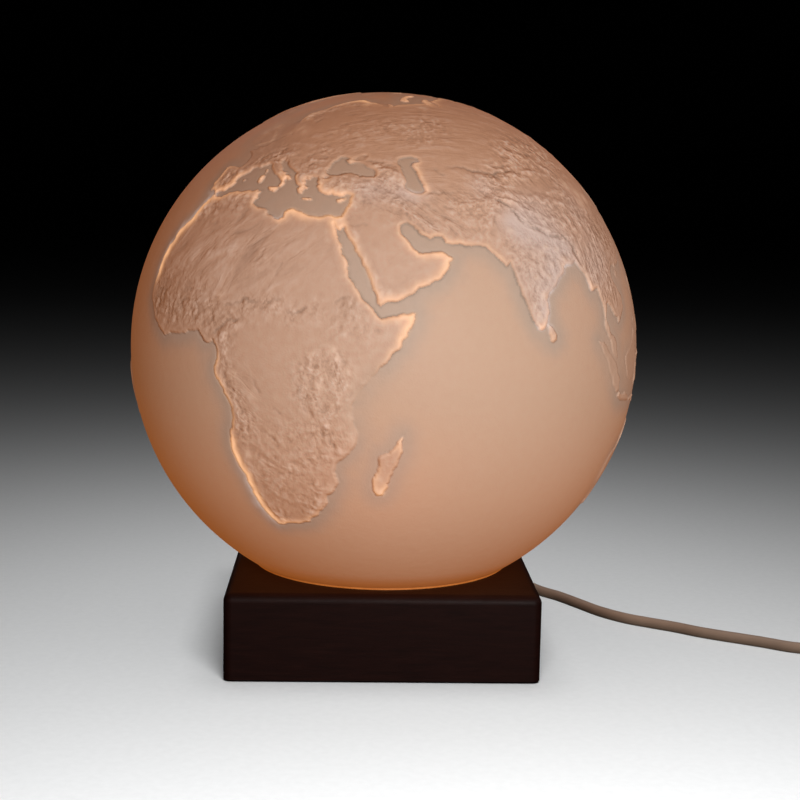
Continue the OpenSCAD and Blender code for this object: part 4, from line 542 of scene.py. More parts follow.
# how uneven the ground is: place, reach in degrees, strength
UNEVEN = [
    (-11, 11.5, 4.5, .9), (-5, 10, 4.5, .9), (1, 10.5, 4.5, .9), (7, 10, 4, .9), (-12, 15.5, 4, .6), (-5, 15.5, 5, .5), (3, 14.5, 4, .5), (12, 9, 3, .8), (16, 12, 3, .75), (21, 12.3, 2.6, .75),
    (26, 11, 2.4, .6), (31, 11.5, 2.4, .55), (35, 9, 3, .4), (10.8, 5, 2.6, 1.0), (11, 1, 2.5, 1.0), (12, -3, 2.5, 1.0), (14, -7, 3, 1.0), (15.5, -11, 3.5, .9), (17, -14, 3.5, .6),
    (31, 0, 3.5, .95), (30, -5, 3.2, .95), (35, -2, 3, .75), (36, 1, 3, .75), (34, -7, 3, .7), (38, -5, 3, .55), (33, 3, 3, .5), (32, -12, 4, .6), (36, -14, 3.5, .5), (28, -12, 4, .5),
    (24, -14, 5, .5), (20, -20, 5, .6), (26, -20, 5, .65), (30, -18, 4, .75), (33, -18, 3, .6), (22, -27, 5, .5), (28, -28, 4, .7), (30, -24, 3, .6), (20, -32, 3, .7), (40, 9, 4, .35),
    (47, -19, 3, .5), (36, 33, 2.5, .4), (38, 38, 5, .8), (32, 38.5, 4, .8), (43, 40, 3.5, 1.0), (43, 43, 3, 1.0), (46, 39, 3, 1.0), (22, 41, 4, .9), (14, 44, 4, .6), (10, 46, 4, .9),
    (4, 45, 4, .7), (-4, 40, 4.5, 1.0), (25, 46, 4, .6), (14, 38, 2.5, .5), (-2, 34, 4, .8), (6, 35, 4, .8), (-6, 32, 3.5, .8), (66, 34, 4.5, .9), (70, 36, 4, 1.0), (73, 39, 4, 1.1),
    (78, 42, 4, 1.1), (84, 44, 4, 1.1), (88, 48, 5, 1.2), (94, 50, 5, 1.1), (100, 50, 5, 1.0), (100, 44, 5, .8), (106, 48, 6, .9), (82, 34, 4, .8), (88, 33, 5, .8), (94, 33, 5, .9),
    (100, 33, 5, 1.0), (100, 38, 4, .9), (76, 22, 4, 1.0), (80, 20, 4, 1.1), (78, 16, 4, 1.1), (77.5, 12, 3, 1.1), (84, 22, 4, 1.1), (88, 24, 3.5, 1.0), (74, 26, 4, .7), (80, 25, 4, .8),
    (86, 26, 4, .7), (70, 27, 3, .5), (96, 20, 4, .9), (100, 20, 4, .9), (103, 16, 4, .8), (104, 22, 5, .9), (108, 26, 6, .9), (114, 28, 6, .9), (104, 30, 5, .9), (99, 14, 3, .7), (92, 24, 3, .9),
    (64, 29, 5, .35), (17, 21, 3, .25), (6, 23.5, 4, .25), (52, 31, 5, .45), (46, 36, 4, .6), (36, 28, 2, .4), (43.5, 15.5, 2.5, .4), (8, 61, 4, .85), (14, 66, 4, .85), (20, 69, 4, .8),
    (37.6, 12.4, 3, .7), (44, 57, 4, .65), (54, 55, 5, .65), (60, 58, 4, .7), (-4.4, 39.6, 4, 1.2), (9, 45.6, 4, 1.1), (100, 38, 4, .9), (24, 55, 5, .35), (34, 53, 5, .35),
]
# drawn-out ground: place, reach in degrees, strength
STRANDS = {
    "meridian": [(96, 21, 4, 1.0), (100, 24, 5, 1.0), (104, 18, 5, 1.0), (99, 14, 4, 1.0), (105, 27, 6, .9), (112, 28, 7, .7), (94, 25, 3, .8), (98, 31, 4, .7), (36, -1, 4, .4), (34, -12, 5, .4)],
    "falling": [(50, 32.5, 4.5, 1.0), (46, 36, 4, .9), (54, 29.5, 3.6, 1.0), (58, 31, 5, .6), (60, 35, 5, .5), (42, 38, 4, .6), (36, 39, 5, .35), (81, 32, 4, .7), (87, 30, 4, .6), (92, 31, 4, .5),
                (88, 49, 5, .6), (96, 47, 6, .5), (100, 52, 6, .6), (14, -5, 5, .5), (16, -10, 5, .5), (68, 39, 4, .4), (20, -22, 6, .35)],
    "rising": [(0, 24, 8, .70), (8, 26, 7, .75), (16, 24, 7, .80), (24, 24, 6, .60), (10, 18, 7, .65), (0, 18, 6, .65), (20, 18, 6, .6), (-8, 24, 5, .6), (75, 25, 4, .4), (44, 7, 4, .25), (50, 21, 7, .22), (-10, 12, 5, .6), (-3, 12, 5, .7), (4, 11, 4, .7), (-10, 17, 4, .6), (78, 20, 4, .7), (83, 23, 4, .7), (78, 13, 3, .6)],
    "parallel": [(34, 50, 9, .3), (46, 54, 10, .38), (62, 52, 12, .32), (30, 60, 12, .38), (56, 62, 14, .38), (80, 58, 14, .2), (60, 42, 7, .3), (76, 42.5, 5, .5), (100, 62, 16, .35), (46, 46, 5, .2), (70, 36, 4, .3)],
}
# coasts that hardly stand out: those faded into the sea, and seas filled to the land's level
FADED = [(114, -26, 7, .9), (99, 2, 5, .75), (-4, 54, 5.5, .95), (-3, 57, 4, .9), (-8, 53, 4, .95), (115, 1, 9, .97), (123, 12, 9, .97), (101, 0, 6, .8), (103, 5, 3, .4), (122, 29, 7, .75), (121, 24, 4, .9), (110, 19, 3, .7), (-2, 48, 3.5, .6), (2, 51, 3.5, .7), (42.6, -1.2, 2.4, .75), (40.4, -4, 2.4, .8), (39.6, -7.6, 2.4, .8), (40.2, -11, 2.2, .6), (94, 80, 5, .8), (-20, 65, 5, .8), (140, 38, 12, .8), (16, 79, 8, .7)]
FILLED = [(20, 57.5, 5, 1.0), (20, 62.5, 4, 1.0), (14, 56, 4, 1.0), (26, 60, 4, 1.0), (10, 57, 4, .9), (38, 65.5, 4, .9), (6, 54.5, 3, .6), (23, 65, 3, .9), (37, 46.2, 1.6, .7), (59.8, 45.0, 2.4, 1.0), (74, 70, 3, .5), (31, 60, 3, .6)]
# seas where the shore gets a painted shade line: place, reach in degrees, strength
SHORE_SHADE = [
    (47, 14, 3, .8), (52, 16.3, 3.5, .9), (57, 20, 3.5, .8), (49, 30, 2.5, 1.0), (52, 28, 2.5, 1.0), (56, 27, 2.5, 1.0), (61, 25.4, 3.5, 1.0), (66, 25.2, 2.5, .9), (70, 22.5, 3, .8), (72.6, 19, 3, 1.0), (74, 15, 3, 1.0),
    (76, 10.5, 3, 1.0), (34, 27, 2.5, .7), (36.2, 22.5, 3, .9), (37.4, 18.5, 2.6, .9), (40.5, 14.4, 2.5, .9), (43.2, 11.6, 2.2, .9), (46, 11.3, 3, .7), (50.5, 11, 2, .6), (49.8, 8.5, 2.6, .6), (47, 4, 2.6, .5),
    (43, 15.5, 2.5, .1), (-8, 5, 3.5, .2), (-2, 5.2, 3.5, .2), (4, 5.8, 3, .35), (8.6, 5.0, 1.6, .9), (9.2, 1, 2.6, .1), (50.6, 46.8, 3.0, 1.0), (52.4, 43, 2.4, 1.0), (53.2, 40, 2.4, 1.0),
    (48.2, 44, 2.2, .5), (30, 46, 3, .9), (34, 45.8, 2.6, .9), (40, 46.0, 3.4, .9), (29, 41.5, 2.4, .4), (92, 21.4, 2.6, .5), (94, 18, 2.6, .7), (98, 14, 3, .6), (98.4, 9, 3, .5), (104, 9, 3, .4), (109, 13, 3, .5),
    (35.2, 33.6, 2.2, .15), (10.8, 34.6, 2.6, .9), (12.2, 32.4, 2.2, .5), (18, 30.6, 2.6, .6), (35.6, 36, 1.6, .3), (17, 42, 2.4, .5), (59.6, 45.2, 2, .9), (-5.6, 36, 1.8, .9), (0, 36.8, 3, .5),
    (45.6, -15.5, 2.2, .45), (11.4, -15, 2.6, .4), (16, 40.2, 2, .2), (30.5, 36.3, 3, .5), (21, 37.5, 2.5, .5), (107, 20, 3, .4),
]

R_SEA = 0.1096  # the sea's radius
CENTRE = np.array((0.0, 0.0, 0.1317))
RIM_Z = 0.0378
RNG = np.random.default_rng(71)


def parse(text):
    return np.array([[float(x) for x in p.split(",")] for p in text.split()])


def crinkle(points, closed, step, amount, seed):
    """Adds small, repeatable bends to a coarse outline."""
    rng = np.random.default_rng(seed)
    p = [tuple(q) for q in points]
    if closed:
        p.append(p[0])
    out = [p[0]]

    def split(a, b):
        lat = math.radians((a[1] + b[1]) / 2)
        dx, dy = (b[0] - a[0]) * math.cos(lat), b[1] - a[1]
        d = math.hypot(dx, dy)
        if d < step:
            out.append(b)
            return
        k = rng.normal(0.0, amount)
        k = max(-2.0 * amount, min(2.0 * amount, k))
        m = ((a[0] + b[0]) / 2 - dy * k / max(0.2, math.cos(lat)), (a[1] + b[1]) / 2 + dx * k)
        split(a, m)
        split(m, b)

    for a, b in zip(p[:-1], p[1:]):
        split(a, b)
    return np.array(out)


def unit(lon, lat):
    lon, lat = np.radians(lon), np.radians(lat)
    return np.stack([np.cos(lat) * np.cos(lon), np.cos(lat) * np.sin(lon), np.sin(lat)], -1)


def to_row(v):
    """The globe stands with the meridian of 45 degrees east towards the camera, a little tilted."""
    a = math.radians(-44.917)
    x, y, z = v[..., 0] * math.cos(a) - v[..., 1] * math.sin(a), v[..., 0] * math.sin(a) + v[..., 1] * math.cos(a), v[..., 2]
    g0, g1, g2 = y, -x, z
    t = math.radians(-0.6)
    g1, g2 = g1 * math.cos(t) - g2 * math.sin(t), g1 * math.sin(t) + g2 * math.cos(t)
    r = math.radians(0.323)
    g0, g2 = g0 * math.cos(r) + g2 * math.sin(r), -g0 * math.sin(r) + g2 * math.cos(r)
    b = math.radians(-1.089)
    return np.stack([g0 * math.cos(b) - g1 * math.sin(b), g0 * math.sin(b) + g1 * math.cos(b), g2], -1)


TO_ROW = to_row(np.eye(3)).T  # columns are the images of the geographic axes

rings = [crinkle(parse(t), True, 0.45, 0.085, 100 + i) for i, t in enumerate(LAND)]
rings += [crinkle(parse(t), True, 0.45, 0.07, 900 + i) for i, t in enumerate(WATER)]
edges = []
for ring in rings:
    e = np.concatenate([ring[:-1], ring[1:]], 1)
    edges.append(e)
    if ring[:, 0].max() > 180:
        edges.append(e - np.array((360, 0, 360, 0)))
edges = np.concatenate(edges)

coast = []
for ring in rings:
    u = unit(ring[:, 0], ring[:, 1])
    for a, b in zip(u[:-1], u[1:]):
        n = max(1, int(np.linalg.norm(b - a) * 110 / 0.3))
        coast += [a + (b - a) * (i / n) for i in range(n)]
tree = kdtree.KDTree(len(coast))
for i, q in enumerate(coast):
    tree.insert(q, i)
tree.balance()


def on_land(lon, lat):
    order = np.argsort(lon)
    x, y = lon[order], lat[order]
    inside = np.zeros(len(x), bool)
    lo = np.minimum(edges[:, 0], edges[:, 2])
    hi = np.maximum(edges[:, 0], edges[:, 2])
    first = np.searchsorted(x, lo, "left")
    last = np.searchsorted(x, hi, "left")
    for (x0, y0, x1, y1), i, j in zip(edges, first, last):
        if j > i:
            inside[i:j] ^= y[i:j] < y0 + (y1 - y0) * (x[i:j] - x0) / (x1 - x0)
    out = np.empty(len(x), bool)
    out[order] = inside
    return out


def shore(v):
    """Distance to the shore in millimetres on the globe, positive on land."""
    d = np.array([tree.find(q)[2] for q in v]) * 110.0
    return np.where(on_land(np.degrees(np.arctan2(v[:, 1], v[:, 0])), np.degrees(np.arcsin(np.clip(v[:, 2], -1, 1)))), d, -d)


# a map of high and low ground, two cells to a degree
GRID = 2.0
HIGH = np.zeros((int(180 * GRID), int(360 * GRID)))
LOW = np.zeros_like(HIGH)
ALONG_X = np.full_like(HIGH, 0.03)  # doubled direction of the ranges, east-west where there are none
ALONG_Y = np.full_like(HIGH, 0.02)
GLAT = (np.arange(HIGH.shape[0]) + 0.5) / GRID - 90
GLON = (np.arange(HIGH.shape[1]) + 0.5) / GRID - 180


def splat(grid, lon, lat, r, h, add=False):
    j = np.where(abs(GLAT - lat) < 2.6 * r)[0]
    reach = 2.6 * r / max(0.15, math.cos(math.radians(lat)))
    dx = (GLON - lon + 180) % 360 - 180
    i = np.where(abs(dx) < reach)[0]
    if len(i) and len(j):
        d2 = (dx[i][None, :] * math.cos(math.radians(lat))) ** 2 + (GLAT[j][:, None] - lat) ** 2
        cells = np.ix_(j, i)
        bell = h * np.exp(-d2 / (r * r))
        grid[cells] = grid[cells] + bell if add else np.maximum(grid[cells], bell)


def along(text, seed):
    c = crinkle(parse(text), False, 0.5, 0.1, seed)
    return c


for k, (h, r, text) in enumerate(RANGES):
    line = along(text, 2000 + k)
    wobble = 1 + 0.25 * np.sin(np.arange(len(line)) * 1.7 + k)
    for (lon, lat), w in zip(line, wobble):
        splat(HIGH, lon, lat, max(0.5, r * 0.85), h * w)
    for a, b in zip(line[:-1], line[1:]):
        t = 2 * math.atan2(b[1] - a[1], (b[0] - a[0]) * math.cos(math.radians(a[1])))
        splat(ALONG_X, a[0], a[1], 2.2 * r + 0.8, 0.1 * math.cos(t), True)
        splat(ALONG_Y, a[0], a[1], 2.2 * r + 0.8, 0.1 * math.sin(t), True)
for k, (h, r, text) in enumerate(LOWS):
    for lon, lat in along(text, 3000 + k):
        splat(LOW, lon, lat, max(0.45, r), h)
PLAIN = np.zeros_like(HIGH)
for h, r, lon, lat in PLATEAUS:
    splat(PLAIN, lon, lat, r, h)
BUSY = np.zeros_like(HIGH)
for lon, lat, r, h in UNEVEN:
    splat(BUSY, lon, lat, r, h)
CUT = np.zeros_like(HIGH)
for k, (depth, text) in enumerate(CREASES):
    for lon, lat in crinkle(parse(text), False, 0.35, 0.12, 4000 + k):
        splat(CUT, lon, lat, 0.7, 1.0)


def sample(grid, lon, lat):
    y = np.clip((lat + 90) * GRID - 0.5, 0, grid.shape[0] - 1.001)
    x = (lon + 180) * GRID - 0.5
    y0, x0 = np.floor(y).astype(int), np.floor(x).astype(int)
    fy, fx = y - y0, x - x0
    w = grid.shape[1]
    a, b = grid[y0, x0 % w], grid[y0, (x0 + 1) % w]
    c, d = grid[y0 + 1, x0 % w], grid[y0 + 1, (x0 + 1) % w]
    return (a * (1 - fx) + b * fx) * (1 - fy) + (c * (1 - fx) + d * fx) * fy


GRADIENTS = RNG.normal(size=(256, 3))
GRADIENTS /= np.linalg.norm(GRADIENTS, axis=1)[:, None]
SHUFFLE = np.concatenate([RNG.permutation(256)] * 3)


def noise3(p):
    """Smooth gradient noise, about -1 to 1."""
    i = np.floor(p).astype(int)
    f = p - i
    i &= 255
    w = f * f * f * (f * (f * 6 - 15) + 10)
    total = np.zeros(len(p))
    for dx in (0, 1):
        for dy in (0, 1):
            for dz in (0, 1):
                g = GRADIENTS[SHUFFLE[SHUFFLE[SHUFFLE[i[:, 0] + dx] + i[:, 1] + dy] + i[:, 2] + dz]]
                off = f - np.array((dx, dy, dz))
                weight = ((w[:, 0] if dx else 1 - w[:, 0]) * (w[:, 1] if dy else 1 - w[:, 1]) * (w[:, 2] if dz else 1 - w[:, 2]))
                total += weight * (g * off).sum(1)
    return total * 1.6


def fractal(p, octaves, ridged=False):
    total, size, amp, norm = np.zeros(len(p)), 1.0, 1.0, 0.0
    for o in range(octaves):
        n = noise3(p * size + 17.3 * o)
        total += amp * ((1 - np.abs(n) * 1.7) if ridged else n)
        norm += amp
        size *= 2.03
        amp *= 0.52
    return total / norm


def smooth(a, b, x):
    t = np.clip((x - a) / (b - a), 0, 1)
    return t * t * (3 - 2 * t)


def facing(v):
    """1 where the camera sees the globe, 0 behind it. v is in the row frame."""
    to_eye = np.array(EYE) - CENTRE
    return smooth(0.02, 0.2, v @ (to_eye / np.linalg.norm(to_eye)))


def ground(row):
    """Everything the relief needs at unit directions in the row frame."""
    v = row @ TO_ROW
    lon = np.degrees(np.arctan2(v[:, 1], v[:, 0]))
    lat = np.degrees(np.arcsin(np.clip(v[:, 2], -1, 1)))
    bend = np.stack([noise3(v * 14 + 5), noise3(v * 14 + 31)], 1) * 0.8
    lon2, lat2 = lon + bend[:, 0] / np.maximum(0.2, np.cos(np.radians(lat))), np.clip(lat + bend[:, 1], -90, 90)
    lon2 = (lon2 + 180) % 360 - 180
    return shore(v), sample(HIGH, lon2, lat2), sample(LOW, lon2, lat2), sample(PLAIN, lon2, lat2), sample(BUSY, lon2, lat2), sample(CUT, lon, lat)


# ---------------------------------------------------------------- the globe's mesh: rings from the top down, then finer where the relief is
def ring_mesh(count, polar_end):
    verts, start = [(0.0, 0.0, 1.0)], [0]
    for k in range(1, count + 1):
        start.append(len(verts))
        t = polar_end * k / count
        for i in range(6 * k):
            a = 2 * math.pi * i / (6 * k)
            verts.append((math.sin(t) * math.cos(a), math.sin(t) * math.sin(a), math.cos(t)))
    faces = []
    for k in range(1, count + 1):
        n_in, n_out = max(1, 6 * (k - 1)), 6 * k
        for side in range(6):
            for i in range(k):
                o0 = start[k] + (side * k + i) % n_out
                o1 = start[k] + (side * k + i + 1) % n_out
                i0 = start[k - 1] + (side * (k - 1) + i) % n_in if k > 1 else 0
                faces.append((i0, o0, o1))
                if i < k - 1:
                    i1 = start[k - 1] + (side * (k - 1) + i + 1) % n_in
                    faces.append((i0, o1, i1))
    return np.array(verts), np.array(faces)


def wanted(fields, row):
    """The edge length to use there, in millimetres."""
    s, high, low, flat, busy, cut = fields
    f = facing(row)
    h = np.where(s > -1.2, 3.4 - 1.75 * f, 4.6)
    rough = (s > 0) & (busy > 0.3)
    h = np.where(rough, np.minimum(h, 2.6 - 1.66 * f), h)
    near = np.abs(s) < 1.2
    h = np.where(near, np.minimum(h, 2.0 - 1.35 * f), h)
    h = np.where((s > 0) & (cut > 0.55), np.minimum(h, 2.6 - 2.0 * f), h)
    return h


def refine(row, faces, fields, rounds):
    for _ in range(rounds):
        e = np.sort(np.concatenate([faces[:, (0, 1)], faces[:, (1, 2)], faces[:, (2, 0)]]), 1)
        key, back = np.unique(e[:, 0] * np.int64(10**7) + e[:, 1], return_inverse=True)
        a, b = (key // 10**7).astype(int), (key % 10**7).astype(int)
        size = wanted(fields, row)
        length = np.linalg.norm(row[a] - row[b], axis=1) * 110.0
        marked = length > 1.35 * np.minimum(size[a], size[b])
        if not marked.any():
            break
        mid = row[a[marked]] + row[b[marked]]
        mid /= np.linalg.norm(mid, axis=1)[:, None]
        number = np.full(len(key), -1)
        number[marked] = len(row) + np.arange(marked.sum())
        new = ground(mid)
        fields = tuple(np.concatenate([old, n]) for old, n in zip(fields, new))
        row = np.concatenate([row, mid])
        m = number[back].reshape(3, -1).T  # one number an edge: 01, 12, 20
        out = []
        split = (m >= 0).sum(1)
        out.append(faces[split == 0])
        k = split == 3
        f, q = faces[k], m[k]
        out += [np.stack([f[:, 0], q[:, 0], q[:, 2]], 1), np.stack([q[:, 0], f[:, 1], q[:, 1]], 1),
                np.stack([q[:, 2], q[:, 1], f[:, 2]], 1), q]
        for r in range(3):  # turn each face so that the marked edges come first
            f = faces[:, [r, (r + 1) % 3, (r + 2) % 3]]
            q = m[:, [r, (r + 1) % 3, (r + 2) % 3]]
            k = (split == 1) & (q[:, 0] >= 0)
            out += [np.stack([f[k, 0], q[k, 0], f[k, 2]], 1), np.stack([q[k, 0], f[k, 1], f[k, 2]], 1)]
            k = (split == 2) & (q[:, 2] < 0)
            out += [np.stack([q[k, 0], f[k, 1], q[k, 1]], 1), np.stack([f[k, 0], q[k, 0], q[k, 1]], 1),
                    np.stack([f[k, 0], q[k, 1], f[k, 2]], 1)]
        faces = np.concatenate(out)
    return row, faces, fields


polar_end = math.acos((RIM_Z - CENTRE[2]) / R_SEA)
row, faces = ring_mesh(40, polar_end)
fields = ground(row)
row, faces, fields = refine(row, faces, fields, 5)
s, high, low, flat, busy, cut = fields
geo = row @ TO_ROW
lon = np.degrees(np.arctan2(geo[:, 1], geo[:, 0]))
lat = np.degrees(np.arcsin(np.clip(geo[:, 2], -1, 1)))
east = np.stack([-np.sin(np.radians(lon)), np.cos(np.radians(lon)), np.zeros(len(lon))], 1)
north = np.cross(geo, east)
bearing = 0.5 * np.arctan2(sample(ALONG_Y, lon, lat), sample(ALONG_X, lon, lat))
course = east * np.cos(bearing)[:, None] + north * np.sin(bearing)[:, None]


def patch(lo, la, r, k):
    dx = (lon - lo + 180) % 360 - 180
    d2 = (dx * np.cos(np.radians(la))) ** 2 + (lat - la) ** 2
    return k * np.exp(-d2 / (r * r))


def highest(rows):
    total = np.zeros(len(geo))
    for lo, la, r, k in rows:
        total = np.maximum(total, patch(lo, la, r, k))
    return total


def combed(scale, reach, offset):
    """Noise drawn out along the ranges."""
    total = np.zeros(len(geo))
    for k in range(-3, 4):
        total += noise3((geo + course * (k * reach / 3)) * scale + offset) * (1 - abs(k) / 5)
    return total / 1.2


faded, filled = highest(FADED), highest(FILLED)
gentle = highest([(124, 36, 16, 1.0), (114, -27, 10, 1.0), (40, -9, 6, .5), (40, -15, 5, .6), (35, -21, 5, .6), (46, -19, 4, .35)])  # where the shore is a long slope
plainly = 1 - np.maximum(faded, filled)
land = smooth(-0.28 - 0.9 * gentle, 0.5 + 0.9 * gentle, s) * (1 - faded)
land = np.maximum(land, smooth(0.15, 0.8, filled))
inland = smooth(0.1, 2.6, s) * (1 - 0.8 * faded)

# creases: the nearest point of any of them
marks, depths = [], []
for k, (depth, text) in enumerate(CREASES):
    c = crinkle(parse(text), False, 0.35, 0.12, 4000 + k)
    u = unit(c[:, 0], c[:, 1])
    for i, (a, b) in enumerate(zip(u[:-1], u[1:])):
        n = max(1, int(np.linalg.norm(b - a) * 110 / 0.3))
        along_it = (i + 0.5) / max(1, len(u) - 1)
        for j in range(n):
            marks.append(a + (b - a) * (j / n))
            depths.append(depth * (0.78 + 0.22 * math.sin(i * 0.23 + k)) * min(1.0, 6 * along_it, 6 * (1 - along_it)))
crease_tree = kdtree.KDTree(len(marks))
for i, q in enumerate(marks):
    crease_tree.insert(q, i)
crease_tree.balance()
depths = np.array(depths)
found = [crease_tree.find(q)[1:] for q in geo]
crease = depths[np.array([f[0] for f in found])] * np.exp(-((np.array([f[1] for f in found]) * 110 / 0.72) ** 2)) * inland

warped = geo + 0.010 * np.stack([noise3(geo * 24 + 2), noise3(geo * 24 + 12), noise3(geo * 24 + 22)], 1)
crest = np.clip(fractal(warped * 27 + 3, 3, True), 0, 1) ** 1.4
lumps = fractal(warped * 44 + 8, 2)
drawn_out = 0.6 * combed(48, 0.024, 3.0) + 0.4 * combed(92, 0.014, 11.0)
rolling = fractal(geo * 15 + 9, 3)
rugged = np.clip(high, 0, 1.7)
wild = np.clip(busy, 0, 1.2)
height = 0.50 * land * (1 - smooth(0.62, 1.0, gentle)) + 0.50 * smooth(-3.0, 3.0, s) * smooth(0.62, 1.0, gentle) + land * (
    0.05 * np.exp(-(((s - 0.9) / 0.8) ** 2)) * plainly
    + inland * (
        0.14 * flat + 0.05 * rolling + rugged * (0.06 + 0.26 * crest + 0.10 * drawn_out)
        + wild * (0.20 * lumps + 0.16 * (crest - 0.35) + 0.08 * drawn_out) - 0.5 * low
    )
)
peak = highest(PEAKS) * (0.85 + 0.3 * noise3(geo * 120 + 33)) * np.maximum(land, 0.0)
height += 0.16 * peak * smooth(-0.1, 0.9, s)
height -= 0.24 * crease
height -= 0.05 * np.exp(-(((s + 0.55) / 0.45) ** 2)) * plainly  # a soft trough along the shore
edge = smooth(0.0, 0.05, np.arccos(np.clip(row[:, 2], -1, 1)) * -1 + polar_end)  # nothing proud at the rim
height *= edge
points = CENTRE + row * (R_SEA + height * 0.001)[:, None]

# bottom edge: from the outer skin across the lip, then up the inside
count_outer = len(points)
e = np.concatenate([faces[:, (0, 1)], faces[:, (1, 2)], faces[:, (2, 0)]])
key = np.sort(e, 1)
key = key[:, 0] * np.int64(10**7) + key[:, 1]
_, first, uses = np.unique(key, return_index=True, return_counts=True)
rim = np.unique(e[first[uses == 1]])
rim = rim[np.argsort(np.arctan2(points[rim, 1], points[rim, 0]))]
points[rim, 2] = RIM_Z
inner = [(0.0562, 0.0378), (0.0490, 0.0378), (0.0490, 0.0408), (0.0555, 0.0411)]
steps = 26
start_in = math.acos((0.0411 - CENTRE[2]) / 0.1065)
inner += [(0.1065 * math.sin(start_in * (1 - i / steps)), CENTRE[2] + 0.1065 * math.cos(start_in * (1 - i / steps))) for i in range(1, steps)]
SIDES = 96
ring_ids = []
extra = []
for r, z in inner:
    ring_ids.append([count_outer + len(extra) + i for i in range(SIDES)])
    extra += [(r * math.cos(2 * math.pi * i / SIDES - math.pi), r * math.sin(2 * math.pi * i / SIDES - math.pi), z) for i in range(SIDES)]
top = count_outer + len(extra)
extra.append((0.0, 0.0, CENTRE[2] + 0.1065))
points = np.concatenate([points, np.array(extra)])
face_list = [tuple(f) for f in faces]


def zip_rings(a, b, flip):
    """Joins two closed rings with different numbers of points, both in order of angle."""
    angle = lambda i: math.atan2(points[i][1], points[i][0])
    i = j = 0
    out = []
    while i < len(a) or j < len(b):
        ta = angle(a[(i + 1) % len(a)]) + (2 * math.pi if i + 1 >= len(a) else 0)
        tb = angle(b[(j + 1) % len(b)]) + (2 * math.pi if j + 1 >= len(b) else 0)
        if j >= len(b) or (i < len(a) and ta <= tb):
            t = (a[i % len(a)], a[(i + 1) % len(a)], b[j % len(b)])
            i += 1
        else:
            t = (a[i % len(a)], b[(j + 1) % len(b)], b[j % len(b)])
            j += 1
        out.append(t[::-1] if flip else t)
    return out


face_list += zip_rings(list(rim), ring_ids[0], True)
for a, b in zip(ring_ids[:-1], ring_ids[1:]):
    for i in range(SIDES):
        k = (i + 1) % SIDES
        face_list.append((a[i], b[i], b[k], a[k]))
face_list += [(ring_ids[-1][i], top, ring_ids[-1][(i + 1) % SIDES]) for i in range(SIDES)]
globe = new_mesh("globe_relief", points, face_list)
me = globe.data

# the shading follows the relief a little more strongly than the outline does
steep = CENTRE + row * (R_SEA + height * 0.0023)[:, None]
corner = np.cross(steep[faces[:, 1]] - steep[faces[:, 0]], steep[faces[:, 2]] - steep[faces[:, 0]])
outer_normal = np.zeros((len(points), 3))
for k in range(3):
    np.add.at(outer_normal, faces[:, k], corner)
outer_normal /= np.maximum(1e-12, np.linalg.norm(outer_normal, axis=1))[:, None]
if len(me.loops) == sum(len(f) for f in face_list):
    plain_normals = np.zeros(len(me.loops) * 3, np.float32)
    me.corner_normals.foreach_get("vector", plain_normals)
    plain_normals = plain_normals.reshape(-1, 3).astype(float)
    verts_of = np.zeros(len(me.loops), np.int32)
    me.loops.foreach_get("vertex_index", verts_of)
    plain_normals[: 3 * len(faces)] = outer_normal[verts_of[: 3 * len(faces)]]
    me.normals_split_custom_set(plain_normals.tolist())


def attribute(name, values, rest=0.0):
    full = np.full(len(points), rest, np.float32)
    full[: len(values)] = values
    me.attributes.new(name, "FLOAT", "POINT").data.foreach_set("value", full)


